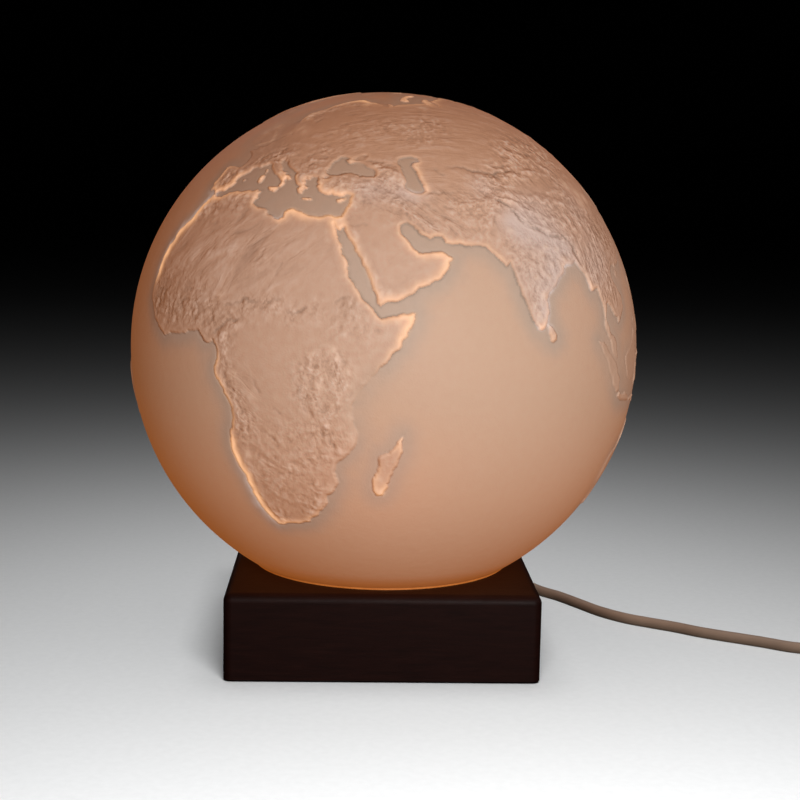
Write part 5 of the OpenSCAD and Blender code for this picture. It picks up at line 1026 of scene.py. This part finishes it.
# where the light from inside shows most along the shores: place, reach in degrees, strength
GLOWING = [
    (-15.8, 17.5, 2.5, 0.8), (-15.6, 20.5, 3, 1.2), (-14, 24, 3, 1.3), (-11.5, 28, 3, 1.3), (-9, 31, 2.6, 1.2), (-7, 34, 2.4, 1.1), (-3, 35.4, 3, 0.6), (2, 36.6, 3, 0.6), (7, 36.9, 3, 0.6), (10.6, 35.4, 2.4, 0.5), (12.5, 33, 2.6, 0.5),
    (20.5, 31.5, 3, 1.2), (23, 32.3, 3, 1.2), (28, 31, 3.4, 0.9), (33.5, 31, 2.5, 0.9), (33.6, 28.4, 2, 0.8), (35.2, 25, 2.4, 0.6), (37, 20.5, 2.6, 0.65), (39.5, 15.8, 2.5, 0.6), (36.8, 27, 2.5, 0.5), (39.6, 22, 3, 0.55),
    (42.4, 17, 2.6, 0.55), (43.6, 13.6, 2, 0.8), (47, 14.2, 3, 0.9), (52, 16.8, 3, 1.0), (56.5, 19.6, 3, 1.2), (58.4, 22.4, 2.4, 1.3), (56, 24, 2, 1.2), (52.4, 24, 2.6, 1.1), (49.6, 26, 2.2, 0.9), (48, 28.6, 2, 0.6),
    (45, 10.8, 3, 0.8), (49.8, 11.6, 2.4, 1.4), (50, 9.5, 2.4, 1.4), (48.4, 6.6, 2.4, 1.2), (46, 3.4, 2.6, 0.8), (12.4, -8, 3, 0.3), (12.2, -12.6, 1.6, 0.6), (11.6, -15, 2, 1.3), (11.8, -18.6, 2.6, 1.4), (13.4, -22.4, 3, 1.4),
    (14.2, -26.4, 3, 1.3), (15.6, -30, 3, 1.3), (18, -33.6, 2.5, 1.1), (21, -34.6, 2.4, 0.8), (25, -34, 3, 0.7), (28.5, -31.8, 2.4, 0.5), (31, -29, 2.4, 0.3), (9.5, 1, 3, 0.3), (9.4, -2, 2.4, 0.6), (11, -5, 2.4, 0.5),
    (-9, 39, 2.6, 0.9), (-8, 42.6, 2.6, 0.8), (-1, 38.6, 2.6, 0.8), (-4, 36.8, 2.4, 0.9), (0.6, 41, 2.4, 0.7), (15.6, 40, 2.4, 0.9), (17.2, 39.4, 1.8, 1.1), (13.8, 37.4, 2, 1.2), (8.8, 41, 2, 1.2), (22.4, 37.8, 2.6, 1.0), (24.6, 35.2, 2, 0.6),
    (30.6, 36.9, 3, 0.9), (27.6, 37.6, 2, 0.8), (33.2, 35.2, 1.8, 1.1), (35.4, 34, 2, 0.4), (52.2, 44.9, 1.8, 0.9), (53.4, 41.6, 2, 0.8), (54, 38.4, 2, 0.8), (51, 37.2, 2.4, 0.5), (41.4, 42, 2, 0.4), (33.8, 44.8, 1.4, 0.7),
    (49.2, -12.6, 2, 1.4), (48.8, -14.6, 1.8, 0.6), (45.8, -25, 1.8, 1.4), (44, -24, 2, 1.2), (43.8, -21, 2, 0.6), (48, -19, 3, 0.25), (59, 25.8, 3, 0.55), (63, 25.6, 3, 0.4), (67, 25, 2.6, 0.4), (70, 22.8, 2, 0.5), (54.4, 27.2, 2.6, 0.5),
    (73.5, 17, 3, 0.1), (77.9, 8.9, 1.6, 1.0), (79.8, 11.5, 2.2, 0.5), (80.6, 14.8, 2.2, 0.4), (84, 18.8, 2.4, 0.3), (87.4, 21.2, 2, 0.4), (94.4, 16.6, 2, 0.9), (98, 12, 3, 0.3), (80.6, 6.6, 1.6, 0.6),
    (6, 61, 2.6, 0.9), (10.5, 65, 2.6, 1.1), (15, 68, 2.6, 1.1), (20, 70, 3, 1.1), (27, 71, 3, 1.2), (34, 70.4, 3, 1.0), (41, 68, 2.6, 0.7), (50, 68.6, 3, 0.5), (62, 70, 3, 0.6), (72, 72.6, 3, 0.8), (90, 75, 6, 0.8), (56, 73, 3, 0.9), (64, 76, 3, 0.7),
]
bright = 0.05 + 0.10 * np.clip(noise3(geo * 11 + 40), -0.4, 1)
for lo, la, r, k in GLOWING:
    bright += patch(lo, la, r, k) * 0.8
bright = np.clip(bright, 0.0, 1.15) * (0.86 + 0.28 * noise3(geo * 40 + 7)) * (1 - patch(115, -25, 10, 1.0))
strong = np.clip(bright, 0, 1)
band = np.where(s < 0.6, smooth(-0.3, 0.55, s), np.exp(-((np.abs(s - 0.6) / (0.40 + 1.60 * strong)) ** 1.5)))
glow = np.clip(bright, 0.0, 1.2) * band * edge * plainly
# painted highlight: places painted paler and whiter, in colour and in light
pale = patch(81, 16, 5, 0.8) + patch(79, 11, 2.5, 0.9) + patch(78, 28.5, 4, 0.9) + patch(85, 26, 4, 0.9) + patch(90, 25, 3, 0.6) + patch(74, 31, 3, 0.5) + patch(84, 20.5, 3, 0.6) + patch(97, 20, 5, 0.35) + patch(102, 24, 5, 0.3)
pale += patch(86, 32.5, 5, 0.45) + patch(79, 33.5, 4, 0.45) + patch(75, 20, 4, 0.3) + patch(51, 37.6, 2.6, 0.8) + patch(40, 37.4, 3, 0.4) + patch(46, 38, 3, 0.35) + patch(70, 39, 3, 0.35) + patch(100, 34, 5, 0.3)

# where a coast faces the edge of the globe the light spills over it, and some edges get a painted whitish highlight
FLARING = [(-15.6, 18.4, 2.4, .9), (-15.2, 22, 3, 1.0), (-12.6, 27, 3, 1.0), (-9.4, 30.8, 3, 1.0), (-7.4, 33.8, 2, .8), (11.6, -16, 1.6, 1.0), (12, -19, 3, 1.0), (13.6, -23.5, 3, 1.0), (14.6, -28, 3, 1.0), (16.4, -32, 2.6, .9),
           (50.6, 10.8, 2, .5), (49.4, 8, 2, .4), (58.4, 22.2, 2, .4), (21.5, 32.4, 1.6, .5), (45.6, -25.2, 1.4, .5), (27, 71.2, 3, .4)]
GLINTING = [(25, 31.8, 2.4, .4), (29.5, 31, 2.4, .5), (33, 31.3, 2, .6), (34.9, 33, 2, .6), (35.7, 35.6, 1.6, .55), (37.6, 24.4, 2.6, .35), (41, 18.6, 2.8, .35), (9.6, 0.6, 2.4, .4), (9.8, -3, 2.4, .45), (12, -6.8, 2.4, .4), (13, -10.4, 2.2, .35)]
SPILT = [(-15.6, 19, 2.6, .55), (-14.4, 23.4, 3, .65), (-12, 27.6, 3, .7), (-9.4, 31, 3, .75), (-7, 34.4, 2.4, .75), (12.6, -22, 2.4, .35), (13.8, -25.6, 3, .6), (15.2, -30, 3, .7), (17.2, -33.4, 2.2, .5), (-5.6, 35.9, 1.4, .6)]
HIGHLIGHTED_EDGES = [(79.6, 10.6, 1.8, 1.0), (80.2, 13.6, 2, 1.0), (81.4, 16.2, 2, .9), (84, 19, 2, .8), (87.6, 21.4, 2.2, 1.0), (91, 22.4, 2, .35), (77.8, 9.4, 1.4, .8), (53.1, 44.9, 1.0, .8), (51.4, 37.2, 2, .7), (19.2, 30.6, 1.4, .6), (94.2, 17, 1.6, .3)]
flare = highest(FLARING) * np.exp(-(np.abs((s - 1.05) / 1.6) ** 3))
flare = np.maximum(flare, highest(FLARING[:5]) * np.exp(-(np.abs((s - 1.5) / 2.2) ** 3)) * (0.85 + 0.3 * noise3(geo * 38 + 70)))
flare = np.maximum(flare, highest(GLINTING) * np.exp(-(np.abs((s - 0.15) / 0.7) ** 2)))
flare = flare * edge * (0.85 + 0.3 * noise3(geo * 38 + 70))
# painted highlight: whitish edges along some coasts, and the spilt light on the sea beside others
edge_highlight = highest(HIGHLIGHTED_EDGES) * np.exp(-(((s + 0.05) / 0.75) ** 2)) * edge
spill = highest(SPILT) * np.exp(-(np.abs((s + 1.15) / 1.35) ** 2)) * edge * (0.85 + 0.3 * noise3(geo * 34 + 90))
edge_highlight = np.maximum(edge_highlight, spill)
dim = highest([(-4, 40, 5, .45), (37.4, 12.6, 2.6, .6), (-11, 11.5, 4.6, .8), (-4, 10.5, 4.6, .8), (3, 11, 4.2, .7), (8.5, 9.5, 3.4, .6), (-12, 16, 4.5, .5), (-3, 16, 5, .35), (11, 4, 3, .3), (15, 13, 3.6, .3), (108, 27, 7, .8), (101, 24, 5, .5), (100, 34, 5, .6), (92, 34, 5, .4), (84, 40, 5, .3),
               (115, 34, 8, .6), (98, 42, 7, .4), (18, -26, 6, .35), (26, -27, 5, .3), (7, 61, 7, .5), (20, 64, 7, .4), (10, 50, 7, .3), (60, 60, 14, .25), (104, 15, 5, .5)]) * land

# painted shade: the sea near a coast, and shut-in seas, are painted greyer and given less light from inside
near = smooth(-9.0, -0.3, s) * (1 - land)
shut_in = highest([(16, 35, 4, 1.0), (22, 34.4, 4, 1.0), (30, 33.6, 4, 1.0), (5, 39, 4, .9), (12, 40, 3, .9), (18.5, 38, 3, 1.0), (34, 43.2, 4, 1.0), (50.5, 41, 4, 1.0), (50.5, 45.6, 3, 1.0), (37, 23, 3, .9), (39.6, 18, 3, .9), (42, 14, 2, .9),
                   (52, 26.2, 3, 1.0), (57, 25, 2, .8), (46, 12.3, 3, .8), (25, 38, 3, .9), (-6, 36, 2, .6), (35, 27.6, 2, .8)])
near = np.maximum(near * (0.25 + 0.75 * plainly), shut_in * (1 - land))
# painted shade: a dark line along every shore, stronger in the listed seas, and along the creases
shaded = highest(SHORE_SHADE) * np.exp(-(((s + 0.25) / 0.5) ** 2)) * plainly
shaded = np.maximum(shaded, 0.10 * np.exp(-(((s + 0.25) / 0.5) ** 2)) * plainly)
shaded = np.clip(shaded + 0.95 * crease * (0.75 + 0.35 * noise3(geo * 60 + 4)), 0, 1) * (1 - 0.7 * smooth(0.5, 1.1, strong) * (s > -0.2))

# high and low places against what lies round them: painted highlight on the high spots, painted shade in the hollows
neighbours = np.zeros(len(row))
count = np.zeros(len(row))
for a, b in ((0, 1), (1, 2), (2, 0)):
    np.add.at(neighbours, faces[:, a], height[faces[:, b]])
    np.add.at(count, faces[:, a], 1)
    np.add.at(neighbours, faces[:, b], height[faces[:, a]])
    np.add.at(count, faces[:, b], 1)
proud = np.where(s > 0.9, (height - neighbours / np.maximum(1, count)) * 26, 0.0) * (0.25 + 0.75 * np.clip(wild, 0, 1))

highlight_specks = highest(HIGHLIGHT_SPECKS) * (0.35 + 0.9 * np.clip(noise3(geo * 46 + 12), 0, 1))
attribute("land", land, 1.0)
attribute("near", near)
attribute("shaded", shaded)
attribute("glow", glow)
attribute("pale", np.clip(pale, 0, 1) * smooth(-0.1, 0.8, s))
# painted highlight on the peaks and specks
attribute("peak", np.clip(np.maximum(peak, highlight_specks), 0, 1))
attribute("flare", np.clip(flare, 0, 1))
attribute("edge_highlight", np.clip(edge_highlight, 0, 1))
attribute("dim", dim)
# painted pool of light: a soft hot spot on the lower front of the globe
attribute("hot", patch(45.3, -21.6, 13.0, 1.0))
attribute("proud", np.clip(proud, -0.6, 1))
attribute("uneven", wild * inland)
for name, rows in STRANDS.items():
    attribute(name, highest(rows) * inland)

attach(globe, "globe")
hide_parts("globe_lower", "globe_upper")
print("globe faces", len(face_list))

# ---------------------------------------------------------------- materials
n = Nodes("frosted_relief_globe")
land_a, near_shore_shade_a, painted_shade_a, glow_a = n.attribute("land"), n.attribute("near"), n.attribute("shaded"), n.attribute("glow")
relief_light_shade_a, pale_highlight_a, uneven_a = n.attribute("proud"), n.attribute("pale"), n.attribute("uneven")
flare_a, edge_highlight_a, dim_a, peak_highlight_a = n.attribute("flare"), n.attribute("edge_highlight"), n.attribute("dim"), n.attribute("peak")
cloud = n.noise(11.0, 4.0)
speck = n.noise(330.0, 4.0, rough=0.5)
fine = n.noise(1500.0, 2.0)


def tangent(lon_at, lat_at, angle):
    """The direction on the globe at a place, angle in degrees from east towards north, in the row frame."""
    lo, la, a = math.radians(lon_at), math.radians(lat_at), math.radians(angle)
    e = np.array((-math.sin(lo), math.cos(lo), 0.0))
    nn = np.array((-math.sin(la) * math.cos(lo), -math.sin(la) * math.sin(lo), math.cos(la)))
    return Vector(tuple(TO_ROW @ (e * math.cos(a) + nn * math.sin(a))))


def strand(direction, scale, stretch):
    """Noise drawn out along a direction."""
    spin = n.t.nodes.new("ShaderNodeMapping")
    spin.inputs["Rotation"].default_value = direction.rotation_difference(Vector((1, 0, 0))).to_euler("XYZ")
    n.link(n.coord, spin.inputs["Vector"])
    thin = n.t.nodes.new("ShaderNodeMapping")
    thin.inputs["Scale"].default_value = (1 / stretch, 1, 1)
    n.link(spin.outputs["Vector"], thin.inputs["Vector"])
    return n.noise(scale, 3.0, thin.outputs["Vector"], 0.55, 0.6)


ways = {"meridian": (tangent(101, 22, 90), 430.0, 5.0), "falling": (tangent(54, 32, -38), 330.0, 5.0),
        "rising": (tangent(8, 22, 48), 170.0, 2.8), "parallel": (tangent(60, 52, 0), 380.0, 6.0)}
centred = lambda value: n.math("SUBTRACT", value, 0.5)
grain = n.math("MULTIPLY", centred(speck), n.math("ADD", n.math("MULTIPLY", uneven_a, 1.5), 0.12))
for name, (direction, scale, stretch) in ways.items():
    grain = n.math("ADD", grain, n.math("MULTIPLY", centred(strand(direction, scale, stretch)), n.math("MULTIPLY", n.attribute(name), 2.0)))
# random tone and streaks, plus painted highlight and shade that follow the relief
mottle_and_relief_shade = n.math("ADD", grain, n.math("MULTIPLY", relief_light_shade_a, 0.28))
# painted shade: greyer sea near coasts and in shut-in seas
sea = n.mix(near_shore_shade_a, (0.80, 0.640, 0.500), (0.67, 0.585, 0.490))
soil = n.mix(n.remap(speck, 0.3, 0.7), (0.785, 0.600, 0.470), (0.845, 0.670, 0.545))
paint = n.mix(land_a, sea, soil)
paint = n.mix(n.remap(cloud, 0.35, 0.65, 0.0, 0.4), paint, (0.84, 0.65, 0.52))
# painted shade: the upper part of the globe painted darker and more orange
paint = n.mix(n.math("MULTIPLY", n.remap(n.z("Z"), 0.165, 0.232, smooth=True), 0.60), paint, (0.71, 0.44, 0.27))
# painted highlight: paler, whiter colour
paint = n.mix(n.math("MULTIPLY", pale_highlight_a, 0.7), paint, (0.94, 0.84, 0.80))
# painted highlight where the mottle is high
paint = n.mix(n.remap(mottle_and_relief_shade, 0.0, 0.42, 0.0, 0.85), paint, (0.96, 0.80, 0.70))
# painted highlight: lighter colour on peaks
paint = n.mix(n.math("MULTIPLY", peak_highlight_a, 0.6), paint, (0.95, 0.81, 0.70))
# painted shade where the mottle is low
paint = n.mix(n.math("MULTIPLY", n.remap(mottle_and_relief_shade, 0.0, -0.45, 0.0, 0.75), n.remap(pale_highlight_a, 0.0, 1.0, 1.0, 0.6)), paint, (0.48, 0.34, 0.27))
paint = n.mix(n.math("MULTIPLY", dim_a, 0.45), paint, (0.56, 0.39, 0.28))
# painted shade along shores and creases
paint = n.mix(n.math("MULTIPLY", painted_shade_a, 0.62), paint, (0.36, 0.285, 0.235))
# painted highlight: whitish colour on those edges
paint = n.mix(n.math("MULTIPLY", edge_highlight_a, 0.9), paint, (0.95, 0.89, 0.87))
height_z = n.z("Z")
# painted shade: the lowest part of the globe, just above the base, painted dark orange
paint = n.mix(n.remap(height_z, 0.0385, 0.0470, 0.85, 0.0, smooth=True), paint, (0.36, 0.130, 0.035))
light = n.ramp(n.remap(height_z, 0.038, 0.238), [(0.0, (0.265, 0.071, 0.012)), (0.22, (0.262, 0.076, 0.017)), (0.42, (0.218, 0.070, 0.021)), (0.65, (0.212, 0.066, 0.021)), (1.0, (0.200, 0.052, 0.012))])
# painted shade: less light from inside on that sea
light = n.mix(n.math("MULTIPLY", near_shore_shade_a, 0.55), light, (0.115, 0.060, 0.040))
# painted shade: less light from inside along shores and creases
light = n.mix(n.math("MULTIPLY", painted_shade_a, 0.60), light, (0.055, 0.024, 0.012))
# painted shade: less light from inside just above the rim
light = n.mix(n.remap(height_z, 0.0378, 0.0404, 0.8, 0.0, smooth=True), light, (0.20, 0.048, 0.007))
# painted shade and highlight from the relief in the light too
light = n.mix(n.remap(mottle_and_relief_shade, 0.0, -0.5, 0.0, 0.6), light, (0.105, 0.040, 0.018))
light = n.mix(n.remap(mottle_and_relief_shade, 0.0, 0.5, 0.0, 0.6), light, (0.340, 0.165, 0.092))
light = n.mix(n.math("MULTIPLY", dim_a, 0.35), light, (0.120, 0.042, 0.018))
# painted highlight in the light as well
light = n.mix(n.math("MULTIPLY", pale_highlight_a, 0.45), light, (0.228, 0.142, 0.116))
# painted pool of light: the hot spot on the lower front
light = n.mix(n.math("MULTIPLY", n.attribute("hot"), 0.30), light, (0.42, 0.125, 0.040))
# painted highlight: more light on peaks
light = n.mix(n.math("MULTIPLY", peak_highlight_a, 0.6), light, (0.43, 0.200, 0.100))
# painted highlight: whitish light on those edges
light = n.mix(n.math("MULTIPLY", edge_highlight_a, 0.8), light, (0.36, 0.265, 0.235))
light = n.mix(n.math("MINIMUM", glow_a, 1.0), light, (0.58, 0.255, 0.110))
light = n.mix(flare_a, light, (0.88, 0.43, 0.19))
n.set(
    Base_Color=paint,
    Emission_Color=light,
    Emission_Strength=1.0,
    Roughness=n.remap(fine, 0.3, 0.7, 0.46, 0.62),
    Specular_IOR_Level=0.25,
    Normal=n.bump(n.math("ADD", grain, n.math("MULTIPLY", fine, 0.12)), 0.00098, 0.92),
)
me.materials.append(n.m)

n = Nodes("dark_stained_wood")
long = n.mapping((9, 90, 90))
streak = n.noise(6.0, 5.0, long, 0.6, 0.4)
pores = n.noise(11.0, 3.0, n.mapping((25, 330, 330)), 0.7)
n.set(
    Base_Color=n.ramp(streak, [(0.25, (0.0145, 0.0033, 0.0022)), (0.55, (0.0235, 0.0055, 0.0036)), (0.8, (0.0320, 0.0082, 0.0054))]),
    Roughness=n.remap(pores, 0.35, 0.75, 0.50, 0.64),
    Specular_IOR_Level=0.16,
    Coat_Weight=0.03, Coat_Roughness=0.35,
    Normal=n.bump(pores, 0.00012, 0.5),
)
wood = n.m

felt = plain("felt_pad", (0.02, 0.018, 0.018), 0.95, tint=0.3, scale=500, grain=2600, depth=0.0003, spec=0.1)
fibre = plain("fibre_board", (0.03, 0.027, 0.025), 0.8, tint=0.35, scale=260, grain=1500, depth=0.0001)
steel = plain("zinc_plated_steel", (0.62, 0.62, 0.64), 0.3, 1.0, tint=0.08, scale=350, stretch=(1, 1, 0.25), grain=2400)
brass = plain("brass", (0.78, 0.56, 0.24), 0.3, 1.0, tint=0.1, scale=220, grain=1800)
cream = plain("cream_moulding", (0.80, 0.74, 0.60), 0.38, tint=0.05, scale=120, grain=1400, coat=0.15)
porcelain = plain("porcelain", (0.82, 0.80, 0.74), 0.18, tint=0.03, scale=90, grain=700, rough_var=0.06, coat=0.5)
brown_wire = plain("brown_insulation", (0.075, 0.022, 0.009), 0.42, tint=0.15, scale=200)
blue_wire = plain("blue_insulation", (0.012, 0.045, 0.20), 0.42, tint=0.15, scale=200)
rubber = plain("moulded_rubber", (0.018, 0.017, 0.017), 0.62, tint=0.25, scale=300, grain=2200, depth=0.00005)
black = plain("textured_black_plastic", (0.014, 0.014, 0.015), 0.46, tint=0.2, scale=240, grain=2600, depth=0.00006)
pins = plain("nickel_plated_pins", (0.70, 0.69, 0.66), 0.22, 1.0, tint=0.06, scale=400, grain=2600)

n = Nodes("spun_aluminium")
x, y = n.z("X"), n.z("Y")
radius = n.math("SQRT", n.math("ADD", n.math("MULTIPLY", x, x), n.math("MULTIPLY", y, y)))
combine = n.t.nodes.new("ShaderNodeCombineXYZ")
n.link(radius, combine.inputs["X"])
rings_noise = n.noise(5200.0, 2.0, combine.outputs["Vector"])
n.set(
    Base_Color=n.ramp(rings_noise, [(0.3, (0.66, 0.66, 0.67)), (0.7, (0.80, 0.80, 0.80))]),
    Metallic=1.0, Roughness=n.remap(rings_noise, 0.3, 0.7, 0.24, 0.42), Normal=n.bump(rings_noise, 0.00003, 0.6),
)
aluminium = n.m

# painted light: the seat ring gives off light of its own, standing in for the bulb's light showing through at the
# globe's foot
n = Nodes("glowing_silicone_ring")
soft = n.noise(160.0, 3.0)
n.set(
    Base_Color=n.ramp(soft, [(0.3, (0.60, 0.22, 0.05)), (0.7, (0.68, 0.27, 0.07))]),
    Emission_Color=n.ramp(soft, [(0.3, (0.19, 0.046, 0.006)), (0.7, (0.24, 0.062, 0.009))]),
    Emission_Strength=1.0, Roughness=n.remap(soft, 0.3, 0.7, 0.4, 0.55), Normal=n.bump(soft, 0.00005, 0.4),
)
ring_lit = n.m

n = Nodes("opal_bulb_glass_lit")
milk = n.noise(70.0, 3.0)
warm = n.remap(n.z("Z"), 0.088, 0.125, smooth=True)
n.set(
    Base_Color=n.ramp(milk, [(0.3, (0.86, 0.82, 0.74)), (0.7, (0.93, 0.90, 0.84))]),
    Emission_Color=n.mix(warm, (0.95, 0.42, 0.15), (1.0, 0.66, 0.36)),
    Emission_Strength=4.0, Roughness=n.remap(milk, 0.3, 0.7, 0.12, 0.22), Coat_Weight=0.4,
)
bulb_lit = n.m

n = Nodes("stem_glass")
wavy = n.noise(220.0, 2.0)
n.set(Base_Color=n.ramp(wavy, [(0.3, (0.84, 0.87, 0.86)), (0.7, (0.92, 0.95, 0.94))]), Roughness=n.remap(wavy, 0.3, 0.7, 0.03, 0.1),
      Transmission_Weight=0.85, IOR=1.5)
clear = n.m

n = Nodes("glowing_filament")
hot = n.noise(900.0, 2.0)
n.set(Base_Color=n.ramp(hot, [(0.3, (0.55, 0.30, 0.10)), (0.7, (0.70, 0.42, 0.16))]), Emission_Color=n.ramp(hot, [(0.3, (1.0, 0.48, 0.13)), (0.7, (1.0, 0.62, 0.22))]),
      Emission_Strength=12.0, Roughness=n.remap(hot, 0.3, 0.7, 0.3, 0.5), Metallic=1.0)
filament = n.m

n = Nodes("cord_sheath")
wear = n.noise(45.0, 3.0)
skin = n.noise(1300.0, 2.0)
n.set(
    Base_Color=n.ramp(wear, [(0.25, (0.265, 0.178, 0.126)), (0.55, (0.330, 0.226, 0.162)), (0.8, (0.380, 0.268, 0.197))]),
    Roughness=n.remap(skin, 0.3, 0.7, 0.4, 0.56), Specular_IOR_Level=0.4, Normal=n.bump(skin, 0.00004, 0.4),
)
sheath = n.m
cord.data.materials.append(sheath)

LOOKS = {
    wood: ["base_block"], felt: ["base_pads"], fibre: ["bottom_cover"],
    steel: ["cover_screws", "gallery_screws", "tube_nut", "tube_washer", "holder_terminal_screws", "anchor_screws", "switch_screws", "bulb_cap"],
    aluminium: ["gallery_plate", "bulb_tip"], brass: ["threaded_tube", "holder_thread_sleeve", "holder_centre_contact", "holder_terminals", "switch_contacts"],
    cream: ["holder_cap", "holder_shell"], porcelain: ["holder_core", "bulb_insulator"], brown_wire: ["live_wire"], blue_wire: ["neutral_wire"],
    sheath: ["cord_inner", "cord_lead", "cord_tail", "cord_coil", "cord_end"], rubber: ["cord_relief", "plug_relief"],
    black: ["cord_anchor", "cord_saddle", "switch_base", "switch_cover", "switch_rocker", "plug_body", "plug_sleeves"],
    ring_lit: ["globe_seat"], bulb_lit: ["bulb_glass"], clear: ["bulb_stem"], filament: ["bulb_filament"], pins: ["plug_pins"],
}
for material, names in LOOKS.items():
    for name in names:
        dress(name, material)
dress("globe_lower", globe.data.materials[0])
dress("globe_upper", globe.data.materials[0])

# ---------------------------------------------------------------- floor and light
verts = [(x, y, 0.0) for y in np.linspace(-6.0, 8.0, 35) for x in np.linspace(-7.0, 7.0, 33)]
quads = [(j * 33 + i, j * 33 + i + 1, (j + 1) * 33 + i + 1, (j + 1) * 33 + i) for j in range(34) for i in range(32)]
floor = new_mesh("floor", verts, quads)
n = Nodes("pale_matt_paper")
tooth = n.noise(300.0, 2.0)
n.set(
    Base_Color=n.ramp(tooth, [(0.3, (0.785, 0.785, 0.785)), (0.7, (0.815, 0.815, 0.815))]),
    Roughness=n.remap(tooth, 0.3, 0.7, 0.75, 0.9), Specular_IOR_Level=0.2,
)
floor.data.materials.append(n.m)


def area(name, place, aim, size, watts, color=(1, 1, 1), size_y=None):
    light = bpy.data.lights.new(name, "AREA")
    light.shape = "RECTANGLE"
    light.size = size
    light.size_y = size_y or size
    light.energy = watts
    light.color = color
    o = link(bpy.data.objects.new(name, light))
    o.location = place
    o.rotation_euler = (Vector(aim) - Vector(place)).to_track_quat("-Z", "Y").to_euler()
    o.visible_camera = False
    return o


CEN = Vector(tuple(CENTRE))


def around(azimuth, elevation, distance):
    """A place seen from the globe's centre; azimuth 0 is the front, positive to the right."""
    a, e = math.radians(azimuth), math.radians(elevation)
    return CEN + Vector((math.sin(a) * math.cos(e), -math.cos(a) * math.cos(e), math.sin(e))) * distance


key = area("key", around(11, 10, 0.62), CEN, 0.22, 1.43, (1.0, 0.99, 0.97))
rake = area("rake", around(84, 26, 1.1), CEN, 0.3, 0.57, (0.95, 0.98, 1.0))
fill = area("fill", around(-38, 8, 1.2), CEN, 0.6, 0.22)
back_left = area("back_left", around(-160, 30, 1.4), CEN, 0.7, 0.8)
back_right = area("back_right", around(160, 30, 1.4), CEN, 0.7, 0.4)
floor_front = area("floor_front", (0.06, -0.55, 0.41), (0.06, -0.55, 0.0), 0.3, 5.9, (0.985, 0.993, 1.0))
floor_above = area("floor_above", (0.0, 0.07, 0.42), (0, 0.07, 0.0), 0.3, 0.72, (0.985, 0.993, 1.0))
over_cord = area("over_cord", (0.35, 0.0, 1.2), (0.2, 0.0, 0.0), 0.5, 5.4)
low_cord = area("low_cord", (0.42, -0.75, 0.16), (0.2, 0.05, 0.0), 0.35, 1.3)

# the floor has two lights of its own, and only the base, the switch and the plug shade it
not_floor = bpy.data.collections.new("lit_by_the_lamps_lights")
for o in bpy.data.objects:
    if o.type in ("MESH", "CURVE") and o is not floor:
        not_floor.objects.link(o)
corded = bpy.data.collections.new("cord_and_what_is_on_it")
for o in [cord] + [NODES[k] for k in NODES if k.startswith(("switch", "plug", "cord_relief"))]:
    corded.objects.link(o)
for lamp in (over_cord, low_cord):
    lamp.light_linking.receiver_collection = corded
for lamp in (key, rake, fill, back_left, back_right):
    lamp.light_linking.receiver_collection = not_floor
only_floor = bpy.data.collections.new("the_floor")
only_floor.objects.link(floor)
for lamp in (floor_front, floor_above):
    lamp.light_linking.receiver_collection = only_floor
shading = bpy.data.collections.new("shades_the_floor")
for o in [NODES["base_block"]] + [NODES[k] for k in NODES if k.startswith(("switch", "plug"))]:
    shading.objects.link(o)
for lamp in (floor_front, floor_above):
    lamp.light_linking.blocker_collection = shading
floor.visible_diffuse = False
floor.visible_glossy = False
globe.light_linking.receiver_collection = not_floor

world = bpy.data.worlds.new("studio")
world.use_nodes = True
world.node_tree.nodes["Background"].inputs["Color"].default_value = (0.0001, 0.0001, 0.0001, 1.0)
world.node_tree.nodes["Background"].inputs["Strength"].default_value = 1.0
scene.world = world

bpy.context.view_layer.update()
